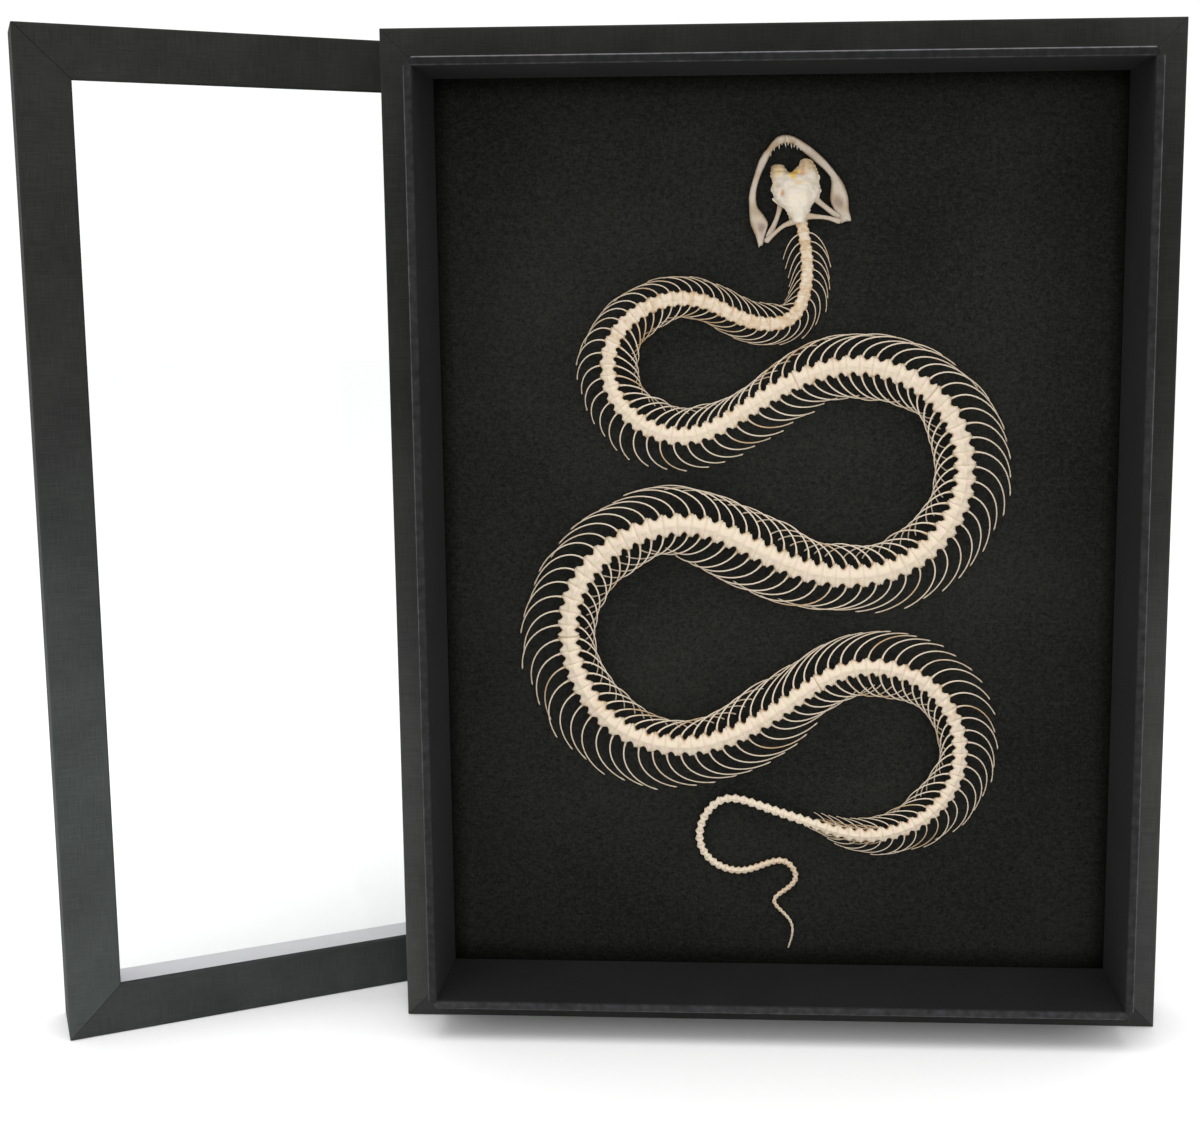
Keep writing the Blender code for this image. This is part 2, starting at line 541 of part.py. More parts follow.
def build_skull(collection, cutters):
    add_loft("cranium", [dome(section) for section in CRANIUM], collection, SKULL_BONE)
    add_loft("prefrontal_left", [dome(section) for section in LEFT_PREFRONTAL], collection, SKULL_BONE)
    add_loft("prefrontal_right", [dome(section) for section in RIGHT_PREFRONTAL], collection, SKULL_BONE)
    for word, sections, teeth in (("left", LEFT_JAW, LEFT_TEETH), ("right", RIGHT_JAW, RIGHT_TEETH)):
        rings = [jaw_ring(section) for section in sections]
        jaw = add_loft("mandible_" + word, rings, collection, JAW_BONE)
        union = jaw.modifiers.new("teeth", "BOOLEAN")
        union.operation = "UNION"
        union.object = teeth_cutter("teeth_" + word, sections, teeth, cutters)
    for name, sections in (("quadrate_left", LEFT_QUADRATE), ("quadrate_right", RIGHT_QUADRATE),
                           ("pterygoid_left", LEFT_PTERYGOID), ("pterygoid_right", RIGHT_PTERYGOID)):
        add_loft(name, strut_rings(sections), collection, JAW_BONE)


def main():
    clear_scene()
    collection = bpy.data.collections.new("mounted_snake_skeleton")
    cutters = bpy.data.collections.new("cutters")
    bpy.context.scene.collection.children.link(collection)
    bpy.context.scene.collection.children.link(cutters)
    build_box(collection)
    build_lid(collection)
    build_backbone(collection)
    build_skull(collection, cutters)


main()
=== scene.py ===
"""The looks of a mounted snake skeleton: bones, felt, the cloth-covered box and its loose glazed lid.

Lengths are metres unless a name or a table says millimetres. The snake's back faces the viewer at -Y,
and every piece stands where the fixed frame has its solids.
"""

import logging
import math
import random
from dataclasses import dataclass, field
from enum import Enum
from typing import Callable, Sequence

import bmesh
import bpy
import numpy as np
from mathutils import Matrix, Vector, noise

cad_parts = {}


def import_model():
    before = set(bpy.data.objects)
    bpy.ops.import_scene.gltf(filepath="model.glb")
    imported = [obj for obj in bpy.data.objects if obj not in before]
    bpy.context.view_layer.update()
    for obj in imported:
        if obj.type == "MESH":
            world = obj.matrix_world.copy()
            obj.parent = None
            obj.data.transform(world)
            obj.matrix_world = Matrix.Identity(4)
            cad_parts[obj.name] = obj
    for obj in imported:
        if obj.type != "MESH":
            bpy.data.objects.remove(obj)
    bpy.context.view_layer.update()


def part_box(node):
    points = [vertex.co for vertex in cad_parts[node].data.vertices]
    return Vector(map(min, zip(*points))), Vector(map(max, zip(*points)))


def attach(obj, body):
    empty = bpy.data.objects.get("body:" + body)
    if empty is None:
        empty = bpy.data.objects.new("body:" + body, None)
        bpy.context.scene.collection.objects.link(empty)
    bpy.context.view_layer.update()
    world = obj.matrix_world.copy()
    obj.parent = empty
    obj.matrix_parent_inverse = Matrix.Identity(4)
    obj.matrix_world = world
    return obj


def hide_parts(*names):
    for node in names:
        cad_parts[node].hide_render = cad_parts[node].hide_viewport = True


log = logging.getLogger("snake_skeleton")

MM = 0.001
# On a piece with crisp edges, faces of more square metres than this stay flat.
FLAT_FACE = 20 * MM * MM

# The cloth's UV map, and the numbers that are stored on vertices.
CLOTH_MAP = "cloth"
RUB_AND_LIGHT = "rub"
AGE = "age"
STAIN = "stain"
RUST = "rust"
HOLLOW = "hollow"

Colour = tuple[float, float, float]
Place = Callable[[Vector], Vector]
Numbers = dict[str, float]


class Side(Enum):
    """One side of the animal."""

    LEFT = -1
    RIGHT = 1

    @property
    def word(self) -> str:
        """The side as it stands in names."""
        return self.name.lower()


class Edge(Enum):
    """One side of an upright frame, as quarter turns from its bottom."""

    BOTTOM = 0
    RIGHT = 1
    TOP = 2
    LEFT = 3

    @property
    def word(self) -> str:
        """The edge as it stands in names."""
        return self.name.lower()


# ---- Shader graphs -------------------------------------------------------------------------------
class Socket:
    """A node's output that takes part in sums as a number, a colour or a vector."""

    def __init__(self, graph: "Graph", output: bpy.types.NodeSocket) -> None:
        """Wrap an output of one of a graph's nodes."""
        self.graph = graph
        self.output = output

    @property
    def is_vector(self) -> bool:
        """Whether the output holds three numbers."""
        return self.output.type in {"VECTOR", "RGBA"}

    def _sum(self, operation: str, first: "Value", second: "Value") -> "Socket":
        """Add a Math or a Vector Math node.

        Args:
            operation: The node's operation.
            first: Its first operand.
            second: Its second operand.

        Returns:
            The node's output.
        """
        operands = [first, second]
        if any(isinstance(item, tuple) or isinstance(item, Socket) and item.is_vector for item in operands):
            kind = "ShaderNodeVectorMath"
            operands = [(item,) * 3 if isinstance(item, (int, float)) else item for item in operands]
        else:
            kind = "ShaderNodeMath"
        return self.graph.node(kind, {"operation": operation}, dict(enumerate(operands)))

    def __add__(self, other: "Value") -> "Socket":
        """Self plus other."""
        return self._sum("ADD", self, other)

    __radd__ = __add__

    def __mul__(self, other: "Value") -> "Socket":
        """Self times other."""
        return self._sum("MULTIPLY", self, other)

    __rmul__ = __mul__

    def __sub__(self, other: "Value") -> "Socket":
        """Self minus other."""
        return self._sum("SUBTRACT", self, other)

    def __rsub__(self, other: "Value") -> "Socket":
        """Other minus self."""
        return self._sum("SUBTRACT", other, self)

    def sine(self) -> "Socket":
        """The sine of self."""
        return self.graph.node("ShaderNodeMath", {"operation": "SINE"}, {0: self})

    def between(self, low: float, high: float) -> "Socket":
        """A smooth step of self, 0 at low and 1 at high."""
        inputs = {"Value": self, "From Min": low, "From Max": high}
        return self.graph.node("ShaderNodeMapRange", {"interpolation_type": "SMOOTHSTEP"}, inputs)

    def part(self, index: int) -> "Socket":
        """One of the three numbers of a vector."""
        return self.graph.node("ShaderNodeSeparateXYZ", {}, {0: self}, index)


Value = Socket | float | tuple

# The colour sockets of a Mix node, by number because those of its other types have the same names.
MIX_SHARE = 0
MIX_FIRST = 6
MIX_SECOND = 7
MIX_RESULT = 2


class Graph:
    """The node tree of one material, with a Principled shader at its end."""

    def __init__(self, name: str) -> None:
        """Start a material.

        Args:
            name: The material's name.
        """
        self.material = bpy.data.materials.new(name)
        self.material.use_nodes = True
        self.tree = self.material.node_tree
        self.shader = self.tree.nodes["Principled BSDF"]

    def node(self, kind: str, settings: dict | None = None, inputs: dict | None = None,
             output: int | str = 0) -> Socket:
        """Add a node.

        Args:
            kind: The node's type.
            settings: Its properties, set before the sockets.
            inputs: Values or links of its sockets, by name or number.
            output: Which output to return, by name or number.

        Returns:
            That output.
        """
        made = self.tree.nodes.new(kind)
        for key, value in (settings or {}).items():
            setattr(made, key, value)
        for key, value in (inputs or {}).items():
            self.feed(made.inputs[key], value)
        return Socket(self, made.outputs[output])

    def feed(self, socket: bpy.types.NodeSocket, value: Value) -> None:
        """Link a socket or set its value.

        Args:
            socket: The socket.
            value: What it is fed.
        """
        if isinstance(value, Socket):
            self.tree.links.new(value.output, socket)
        elif isinstance(value, tuple) and socket.type == "RGBA" and len(value) == 3:
            socket.default_value = (*value, 1.0)
        else:
            socket.default_value = value

    def shade(self, **inputs: Value) -> bpy.types.Material:
        """Feed the Principled shader.

        Args:
            inputs: A value or link for each socket, with underscores for the spaces in its name.

        Returns:
            The material.
        """
        for key, value in inputs.items():
            self.feed(self.shader.inputs[key.replace("_", " ")], value)
        return self.material

    def spot(self) -> Socket:
        """The place on the object."""
        return self.node("ShaderNodeTexCoord", {}, {}, "Object")

    def cloth_spot(self) -> Socket:
        """The place on the unrolled cloth, in metres."""
        return self.node("ShaderNodeUVMap", {"uv_map": CLOTH_MAP})

    def attribute(self, name: str) -> Socket:
        """A number stored on the mesh."""
        return self.node("ShaderNodeAttribute", {"attribute_name": name}, {}, "Fac")

    def clouds(self, where: Socket, size: float, detail: float = 2.0) -> Socket:
        """Soft noise whose features are about size metres wide."""
        return self.node("ShaderNodeTexNoise", {}, {"Vector": where, "Scale": 1 / size, "Detail": detail})

    def mix(self, share: Value, first: Value, second: Value) -> Socket:
        """A colour between two."""
        inputs = {MIX_SHARE: share, MIX_FIRST: first, MIX_SECOND: second}
        return self.node("ShaderNodeMix", {"data_type": "RGBA"}, inputs, MIX_RESULT)

    def bump(self, height: Socket, depth: float) -> Socket:
        """A normal from a height of 0 to 1, depth metres deep."""
        return self.node("ShaderNodeBump", {}, {"Height": height, "Distance": depth})


# ---- Finishes ------------------------------------------------------------------------------------
@dataclass(frozen=True)
class BookCloth:
    """Matt woven cloth glued over board, painted lighter low down, and paler where the rub numbers mark wear
    and painted light.

    Its colours are as given from the upper height of its painted light up, and multiplied by its low-down
    gain from the lower height down: painted light from below.
    """

    name: str
    colour: Colour = (0.0110, 0.0113, 0.0104)
    slub: Colour = (0.028, 0.029, 0.0265)
    # The pale of worn edges, also used for painted highlights and painted light.
    rubbed_and_lit: Colour = (0.12, 0.115, 0.125)
    low_painted_light: Colour = (1.0, 1.0, 1.0)
    painted_light_low: float = 80 * MM
    painted_light_high: float = 300 * MM
    thread: float = 0.42 * MM
    weave_depth: float = 0.05 * MM
    wear: float = 30 * MM
    scuff: float = 3 * MM

    def material(self) -> bpy.types.Material:
        """Make the cloth's material.

        Returns:
            The material.
        """
        graph = Graph(self.name)
        where = graph.cloth_spot()
        turn = math.pi / self.thread
        weave = (where.part(0) * turn).sine() * (where.part(1) * turn).sine() * 0.5 + 0.5
        warp = graph.clouds(where * (0.03, 1.0, 1.0), 0.7 * self.thread)
        weft = graph.clouds(where * (1.0, 0.03, 1.0), 0.7 * self.thread)
        worn = graph.clouds(graph.spot(), self.wear, 3.0)
        light = ((warp + weft + worn - 1.0) * 0.9 * (weave * 0.6 + 0.7)).between(-0.1, 1.1)
        # Painted light: from the upper height down the cloth is painted lighter, up to its low-down gain, for
        # light thrown up from the floor.
        above = graph.spot().part(2).between(self.painted_light_low, self.painted_light_high)
        dark = graph.mix(light, self.colour, self.slub)
        pale = graph.mix(light * 0.7 + 0.12, self._with_low_painted_light(self.colour), self._with_low_painted_light(self.slub))
        colour = graph.mix(above, pale, dark)
        scuffs = graph.clouds(graph.spot(), self.scuff, 4.0)
        # Wear on edges, mixed with painted highlights on their crowns and painted light on the boards' faces.
        rub = (graph.attribute(RUB_AND_LIGHT) * (scuffs * 1.1 + 0.35)).between(0.1, 1.1)
        colour = graph.mix(rub, colour, self.rubbed_and_lit)
        height = weave * 0.6 + (warp + weft) * 0.2
        return graph.shade(Base_Color=colour, Roughness=0.85 - rub * 0.2, Specular_IOR_Level=0.09,
                           Sheen_Weight=0.02, Sheen_Roughness=0.5,
                           Normal=graph.bump(height, self.weave_depth))

    def _with_low_painted_light(self, tint: Colour) -> Colour:
        """A colour with the painted light that it gets low down."""
        return tuple(part * times for part, times in zip(tint, self.low_painted_light))


@dataclass(frozen=True)
class Felt:
    """Thick black felt with a fine nap."""

    name: str
    colour: Colour = (0.0070, 0.0071, 0.0062)
    nap: Colour = (0.0225, 0.0230, 0.0200)
    fibre: float = 0.55 * MM
    strand: float = 0.6 * MM
    tuft: float = 2.2 * MM
    patch: float = 70 * MM
    nap_depth: float = 0.22 * MM

    def material(self) -> bpy.types.Material:
        """Make the felt's material.

        Returns:
            The material.
        """
        graph = Graph(self.name)
        where = graph.spot()
        fibres = graph.clouds(where * (1.0, 1.0, 0.45), self.fibre, 4.0)
        strands = graph.clouds(where * (0.4, 1.0, 1.0), self.strand, 4.0)
        tufts = graph.clouds(where, self.tuft, 3.0)
        patches = graph.clouds(where, self.patch, 1.0)
        light = fibres * 0.6 + strands * 0.6 + tufts * 0.35 + patches * 0.35
        colour = graph.mix(light.between(0.68, 1.28), self.colour, self.nap)
        height = fibres * 0.4 + strands * 0.4 + tufts * 0.2
        return graph.shade(Base_Color=colour, Roughness=0.95, Specular_IOR_Level=0.04,
                           Normal=graph.bump(height, self.nap_depth))


@dataclass(frozen=True)
class Lining:
    """Pale lining paper inside the lid."""

    name: str
    colour: Colour = (0.66, 0.655, 0.68)
    fibre: float = 0.8 * MM
    patch: float = 25 * MM
    fibre_depth: float = 0.02 * MM

    def material(self) -> bpy.types.Material:
        """Make the paper's material.

        Returns:
            The material.
        """
        graph = Graph(self.name)
        fibres = graph.clouds(graph.spot(), self.fibre, 4.0)
        patches = graph.clouds(graph.spot(), self.patch)
        shaded = tuple(0.93 * part for part in self.colour)
        colour = graph.mix(fibres * 0.5 + patches * 0.5, shaded, self.colour)
        return graph.shade(Base_Color=colour, Roughness=0.8, Specular_IOR_Level=0.3,
                           Normal=graph.bump(fibres, self.fibre_depth))


@dataclass(frozen=True)
class ClearPane:
    """A clear polished pane."""

    name: str
    tint: Colour = (0.985, 0.995, 0.99)
    haze: float = 40 * MM

    def material(self) -> bpy.types.Material:
        """Make the pane's material.

        Returns:
            The material.
        """
        graph = Graph(self.name)
        haze = graph.clouds(graph.spot(), self.haze, 3.0)
        return graph.shade(Base_Color=self.tint, Roughness=haze * 0.015, IOR=1.22, Transmission_Weight=1.0)


@dataclass(frozen=True)
class DryBone:
    """Dry bone, tan at its edges from old oils, and darker in its notches and hollows, partly oil and partly
    painted shade.
    """

    name: str
    clean: Colour = (0.64, 0.56, 0.42)
    flush: Colour = (0.66, 0.535, 0.435)
    tan: Colour = (0.46, 0.31, 0.165)
    # The darkest brown, reached in the notches: partly oil stain, partly painted shade.
    deep: Colour = (0.15, 0.068, 0.024)
    stain: Colour = (0.72, 0.48, 0.13)
    rust: Colour = (0.50, 0.28, 0.12)
    # Grey of the jaw's hollow: partly the bone's own tone, partly painted shade in the recess.
    hollow: Colour = (0.26, 0.19, 0.145)
    rough: float = 0.5
    grain: float = 0.9 * MM
    grain_depth: float = 0.07 * MM
    patch: float = 2.8 * MM
    blush: float = 2.0 * MM
    pore: float = 0.28 * MM

    def material(self) -> bpy.types.Material:
        """Make the bone's material.

        Returns:
            The material.
        """
        graph = Graph(self.name)
        where = graph.spot()
        grain = graph.clouds(where, self.grain, 4.0)
        patches = graph.clouds(where, self.patch, 3.0)
        pores = graph.clouds(where, self.pore, 1.0).between(0.68, 0.78)
        age = graph.attribute(AGE) + (patches - 0.5) * 0.5 + (grain - 0.5) * 0.25
        blush = graph.clouds(where + 0.4, self.blush, 2.0).between(0.42, 0.62)
        colour = graph.mix(blush, self.clean, self.flush)
        colour = graph.mix(age.between(0.05, 0.75), colour, self.tan)
        colour = graph.mix(age.between(0.7, 1.25), colour, self.deep)
        for name, tint in ((STAIN, self.stain), (RUST, self.rust), (HOLLOW, self.hollow)):
            share = (graph.attribute(name) * (grain * 0.9 + 0.55)).between(0.08, 0.9)
            colour = graph.mix(share, colour, tint)
        colour = graph.mix(pores * 0.3, colour, self.tan)
        height = grain * 0.7 + patches * 0.3 - pores * 0.25
        return graph.shade(Base_Color=colour, Roughness=grain * 0.3 + (self.rough - 0.15),
                           Specular_IOR_Level=0.4, Normal=graph.bump(height, self.grain_depth))


@dataclass(frozen=True)
class StudioFloor:
    """The plain pale surface that everything stands on."""

    name: str
    colour: Colour = (0.96, 0.96, 0.96)

    def material(self) -> bpy.types.Material:
        """Make the floor's material.

        Returns:
            The material.
        """
        graph = Graph(self.name)
        drift = graph.clouds(graph.spot(), 0.5)
        colour = graph.mix(drift, tuple(0.99 * part for part in self.colour), self.colour)
        return graph.shade(Base_Color=colour, Roughness=0.7, Specular_IOR_Level=0.3)


# ---- Making pieces -------------------------------------------------------------------------------
def add_piece(name: str, bm: bmesh.types.BMesh, material: bpy.types.Material,
              stands_for: Sequence[str] = (), flat_over: float | None = None) -> bpy.types.Object:
    """Turn a bmesh into a piece that rides on the frame.

    Args:
        name: The piece's name.
        bm: Its shape, which is used up.
        material: Its finish.
        stands_for: The solids that it replaces.
        flat_over: Faces larger than this many square metres stay flat; all are smooth if it is None.

    Returns:
        The piece.
    """
    for face in bm.faces:
        face.smooth = flat_over is None or face.calc_area() < flat_over
    mesh = bpy.data.meshes.new(name)
    bm.to_mesh(mesh)
    bm.free()
    mesh.materials.append(material)
    piece = bpy.data.objects.new(name, mesh)
    bpy.context.scene.collection.objects.link(piece)
    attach(piece, "root")
    if stands_for:
        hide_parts(*stands_for)
    log.info("%s: %d faces", name, len(mesh.polygons))
    return piece


def unroll_cloth(bm: bmesh.types.BMesh) -> None:
    """Give every face its place on the cloth, in metres, seen along its steepest axis.

    Args:
        bm: The mesh.
    """
    layer = bm.loops.layers.uv.new(CLOTH_MAP)
    for face in bm.faces:
        normal = face.normal
        axis = max(range(3), key=lambda i: abs(normal[i]))
        across, up = [i for i in range(3) if i != axis]
        for loop in face.loops:
            loop[layer].uv = (loop.vert.co[across], loop.vert.co[up])


def close_holes(bm: bmesh.types.BMesh) -> None:
    """Fill every open loop and face the surface outwards.

    Args:
        bm: The mesh.
    """
    edges = [edge for edge in bm.edges if edge.is_boundary]
    if edges:
        bmesh.ops.holes_fill(bm, edges=edges, sides=0)
    bmesh.ops.recalc_face_normals(bm, faces=bm.faces)


def bevel(bm: bmesh.types.BMesh, edges: list[bmesh.types.BMEdge], width: float, segments: int) -> None:
    """Round edges.

    Args:
        bm: The mesh.
        edges: Its edges to round.
        width: How far each cut starts from its edge.
        segments: Faces across it.
    """
    bmesh.ops.bevel(bm, geom=edges, offset=width, segments=segments, profile=0.5, affect="EDGES",
                    material=-1, clamp_overlap=True)


class Template:
    """A small closed shape in unit coordinates that is bent into place many times."""

    def __init__(self, bm: bmesh.types.BMesh, name: str) -> None:
        """Keep a shape for stamping.

        Args:
            bm: The shape, which is used up.
            name: The name of its mesh.
        """
        self.mesh = bpy.data.meshes.new(name)
        bm.to_mesh(self.mesh)
        bm.free()

    @classmethod
    def tube(cls, sides: int, cuts: int) -> "Template":
        """A closed tube round Z, from z = 0 to 1.

        Args:
            sides: Faces round it.
            cuts: Rings between its ends.

        Returns:
            The template.
        """
        bm = bmesh.new()
        bmesh.ops.create_cone(bm, cap_ends=True, segments=sides, radius1=1.0, radius2=1.0, depth=1.0)
        bmesh.ops.translate(bm, vec=(0, 0, 0.5), verts=bm.verts)
        long_edges = [edge for edge in bm.edges if abs(edge.verts[0].co.z - edge.verts[1].co.z) > 0.5]
        bmesh.ops.subdivide_edges(bm, edges=long_edges, cuts=cuts)
        return cls(bm, "tube_%d_%d" % (sides, cuts))

    def stamp(self, bm: bmesh.types.BMesh, place: Place, marks: Callable[[Vector], Numbers]) -> None:
        """Add a bent copy to a mesh.

        Args:
            bm: The mesh that grows.
            place: Takes a unit point to its place in metres.
            marks: Gives the numbers to store at a unit point, by attribute name.
        """
        first = len(bm.verts)
        bm.from_mesh(self.mesh)
        bm.verts.ensure_lookup_table()
        for vert in bm.verts[first:]:
            spot = vert.co.copy()
            for name, value in marks(spot).items():
                vert[number_layer(bm, name)] = value
            vert.co = place(spot)


def number_layer(bm: bmesh.types.BMesh, name: str) -> bmesh.types.BMLayerItem:
    """The layer of numbers of that name on the vertices."""
    layers = bm.verts.layers.float
    return layers.get(name) or layers.new(name)


def new_bone_mesh() -> bmesh.types.BMesh:
    """Start a mesh with the bone's number layers.

    Returns:
        The mesh.
    """
    bm = bmesh.new()
    for name in (AGE, STAIN, RUST, HOLLOW):
        bm.verts.layers.float.new(name)
    return bm


def step(low: float, high: float, value: float) -> float:
    """A smooth step, 0 at low and 1 at high."""
    share = min(1.0, max(0.0, (value - low) / (high - low)))
    return share * share * (3 - 2 * share)


def hill(distance: float, width: float) -> float:
    """A bell curve, 1 at no distance."""
    return math.exp(-((distance / width) ** 2))


def through(rows: Sequence[Sequence[float]], where: float) -> list[float]:
    """Read a table at a fractional row, on a smooth curve through its rows.

    Args:
        rows: The table.
        where: The row's number, with a fraction for places between two rows.

    Returns:
        The row there.
    """
    last = len(rows) - 1
    low = min(int(max(where, 0.0)), last - 1)
    share = where - low
    four = [rows[min(max(low + k, 0), last)] for k in (-1, 0, 1, 2)]
    return [
        b + 0.5 * share * (c - a + share * (2 * a - 5 * b + 4 * c - d + share * (3 * (b - c) + d - a)))
        for a, b, c, d in zip(*four)
    ]


# ---- Box and lid ---------------------------------------------------------------------------------
@dataclass
class Rail:
    """One mitred side of an upright frame, covered in cloth.

    Its outline is its section: how far in from the frame's outside each corner is, and its Y. Its rub numbers
    say how pale its front edges and face are made: wear with a painted highlight on the edges' crowns,
    painted light on the face, and the inner share how much less its inner edge is.
    """

    outline: list[tuple[float, float]]
    width: float
    height: float
    edge: Edge
    seam: float = 0.1 * MM
    rounding: float = 0.6 * MM
    crease_angle: float = math.radians(35)
    crease_rounding: float = 0.12 * MM
    corner_cut: float = 0.0
    rub: float = 0.0
    inner_rub: float = 0.45
    face_rub: float = 0.0

    def build(self) -> bmesh.types.BMesh:
        """Model the rail, centred on X and standing on Z = 0.

        Returns:
            Its mesh, with the cloth's map and the rubbing of its front edges.
        """
        upright = self.edge in (Edge.LEFT, Edge.RIGHT)
        length, reach = (self.height, self.width) if upright else (self.width, self.height)
        bm = bmesh.new()
        face = bm.faces.new([bm.verts.new((-1.0, y, inward)) for inward, y in self.outline])
        grown = bmesh.ops.extrude_face_region(bm, geom=[face])["geom"]
        for vert in [item for item in grown if isinstance(item, bmesh.types.BMVert)]:
            vert.co.x = 1.0
        for vert in bm.verts:
            vert.co.x *= length / 2 - vert.co.z - self.seam / 2
        close_holes(bm)
        if self.corner_cut:
            self._cut_corners(bm, length)
        runs = [edge for edge in bm.edges if abs(edge.verts[0].co.x - edge.verts[1].co.x) > length / 2]
        bevel(bm, runs, self.rounding, 3)
        runs = [edge for edge in bm.edges if abs(edge.verts[0].co.x - edge.verts[1].co.x) > length / 2]
        ends = [edge for edge in bm.edges if edge not in set(runs)]
        creases = [edge for edge in ends if edge.calc_face_angle(0.0) > self.crease_angle]
        bevel(bm, creases, self.crease_rounding, 1)
        self._mark_rubbing_and_light(bm)
        unroll_cloth(bm)
        turn = Matrix.Rotation(-self.edge.value * math.pi / 2, 4, "Y")
        shift = Matrix.Translation((0, 0, self.height / 2))
        bmesh.ops.translate(bm, vec=(0, 0, -reach / 2), verts=bm.verts)
        bmesh.ops.transform(bm, matrix=shift @ turn, verts=bm.verts)
        return bm

    def _cut_corners(self, bm: bmesh.types.BMesh, length: float) -> None:
        """Cut the frame's outer corners off at 45 degrees.

        Args:
            bm: The rail's mesh.
            length: The rail's length.
        """
        outer = min(inward for inward, _ in self.outline)
        for way in (-1, 1):
            point = Vector((way * (length / 2 - outer - self.corner_cut), 0, outer))
            bmesh.ops.bisect_plane(bm, geom=bm.verts[:] + bm.edges[:] + bm.faces[:], plane_co=point,
                                   plane_no=(way, 0, -1), clear_outer=True)
            close_holes(bm)

    def _mark_rubbing_and_light(self, bm: bmesh.types.BMesh) -> None:
        """Mark the crowns of the rounded front edges pale, for wear and a painted highlight, and the front
        face a little, as painted light.

        Args:
            bm: The rail's mesh.
        """
        layer = number_layer(bm, RUB_AND_LIGHT)
        if not self.rub:
            return
        front = min(y for _, y in self.outline)
        outer = min(inward for inward, _ in self.outline)
        for vert in bm.verts:
            depth = vert.co.y - front
            side = vert.co.z - outer
            crown = 0.05 * self.rounding < depth < 0.95 * self.rounding
            if crown and side < self.rounding:
                vert[layer] = self.rub
            elif crown:
                vert[layer] = self.inner_rub * self.rub
            elif depth <= 0.05 * self.rounding:
                vert[layer] = self.face_rub


@dataclass
class DisplayBox:
    """The upright box: walls, the thin boards inside them, the back board and the felt.

    The felt swells by felt_swell at most, about felt_swells times to a metre.
    """

    cloth: bpy.types.Material
    # A copy of the cloth with less painted light low down: painted shade on the bottom wall.
    foot_cloth: bpy.types.Material
    # A darker copy of the cloth for the boards inside the walls: painted shade.
    neck_cloth: bpy.types.Material
    felt: bpy.types.Material
    corner_cut: float = 3.6 * MM
    wall_seam: float = 0.03 * MM
    wall_rounding: float = 0.9 * MM
    board_rounding: float = 0.7 * MM
    back_rounding: float = 0.5 * MM
    felt_swell: float = 0.12 * MM
    felt_swells: float = 45.0
    felt_cuts: int = 40

    def build(self) -> None:
        """Make the box's pieces."""
        wall_low, wall_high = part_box("box_wall_left")
        neck_low, neck_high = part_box("box_neck_left")
        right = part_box("box_wall_right")[1].x
        width, height = right - wall_low.x, wall_high.z - wall_low.z
        wall = wall_high.x - wall_low.x
        inner = neck_low.x - wall_low.x
        board = neck_high.x - neck_low.x
        wall_outline = [(0, wall_low.y), (wall, wall_low.y), (wall, wall_high.y), (0, wall_high.y)]
        neck_outline = [(inner, neck_low.y), (inner + board, neck_low.y),
                        (inner + board, neck_high.y), (inner, neck_high.y)]
        # Per edge: pale crowns for wear with a painted highlight, brightest on top, and painted light on the
        # boards' faces, lightest at the bottom.
        edge_rubs_and_lights = {Edge.TOP: 1.0, Edge.LEFT: 0.62, Edge.RIGHT: 0.62, Edge.BOTTOM: 0.6}
        face_rubs_and_lights = {Edge.TOP: 0.23, Edge.LEFT: 0.31, Edge.RIGHT: 0.31, Edge.BOTTOM: 0.40}
        for edge in Edge:
            walls = Rail(wall_outline, width, height, edge, seam=self.wall_seam, rounding=self.wall_rounding)
            # The bottom wall takes the copy with less painted light, as painted shade.
            cloth = self.foot_cloth if edge is Edge.BOTTOM else self.cloth
            add_piece("case_wall_" + edge.word, walls.build(), cloth,
                      ["box_wall_" + edge.word], flat_over=FLAT_FACE)
            boards = Rail(neck_outline, width, height, edge, rounding=self.board_rounding,
                          corner_cut=self.corner_cut, rub=edge_rubs_and_lights[edge], face_rub=face_rubs_and_lights[edge])
            add_piece("neck_board_" + edge.word, boards.build(), self.neck_cloth,
                      ["box_neck_" + edge.word], flat_over=FLAT_FACE)
        self._back_board()
        self._felt()

    def _slab(self, node: str, cuts: int = 0) -> bmesh.types.BMesh:
        """A block where a solid is, with its edges still sharp.

        Args:
            node: The solid's name.
            cuts: How often its faces across Y are cut, both ways.

        Returns:
            The block's mesh.
        """
        low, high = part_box(node)
        bm = bmesh.new()
        bmesh.ops.create_cube(bm, size=1.0)
        bmesh.ops.transform(bm, matrix=Matrix.LocRotScale((low + high) / 2, None, high - low), verts=bm.verts)
        if cuts:
            long_edges = [edge for edge in bm.edges if abs(edge.verts[0].co.y - edge.verts[1].co.y) < MM]
            bmesh.ops.subdivide_edges(bm, edges=long_edges, cuts=cuts, use_grid_fill=True)
        return bm

    def _back_board(self) -> None:
        """The cloth-covered board that closes the back."""
        bm = self._slab("box_back")
        bevel(bm, bm.edges[:], self.back_rounding, 2)
        number_layer(bm, RUB_AND_LIGHT)
        unroll_cloth(bm)
        add_piece("back_board", bm, self.cloth, ["box_back"], flat_over=FLAT_FACE)

    def _felt(self) -> None:
        """The felt, which lies not quite flat on its board."""
        bm = self._slab("felt", cuts=self.felt_cuts)
        low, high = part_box("felt")
        for vert in bm.verts:
            inside = min(vert.co.x - low.x, high.x - vert.co.x, vert.co.z - low.z, high.z - vert.co.z)
            if vert.co.y < low.y + MM and inside > MM:
                swell = 0.5 + 0.5 * noise.noise(vert.co * self.felt_swells)
                vert.co.y += self.felt_swell * swell
        add_piece("felt_lining", bm, self.felt, ["felt"])


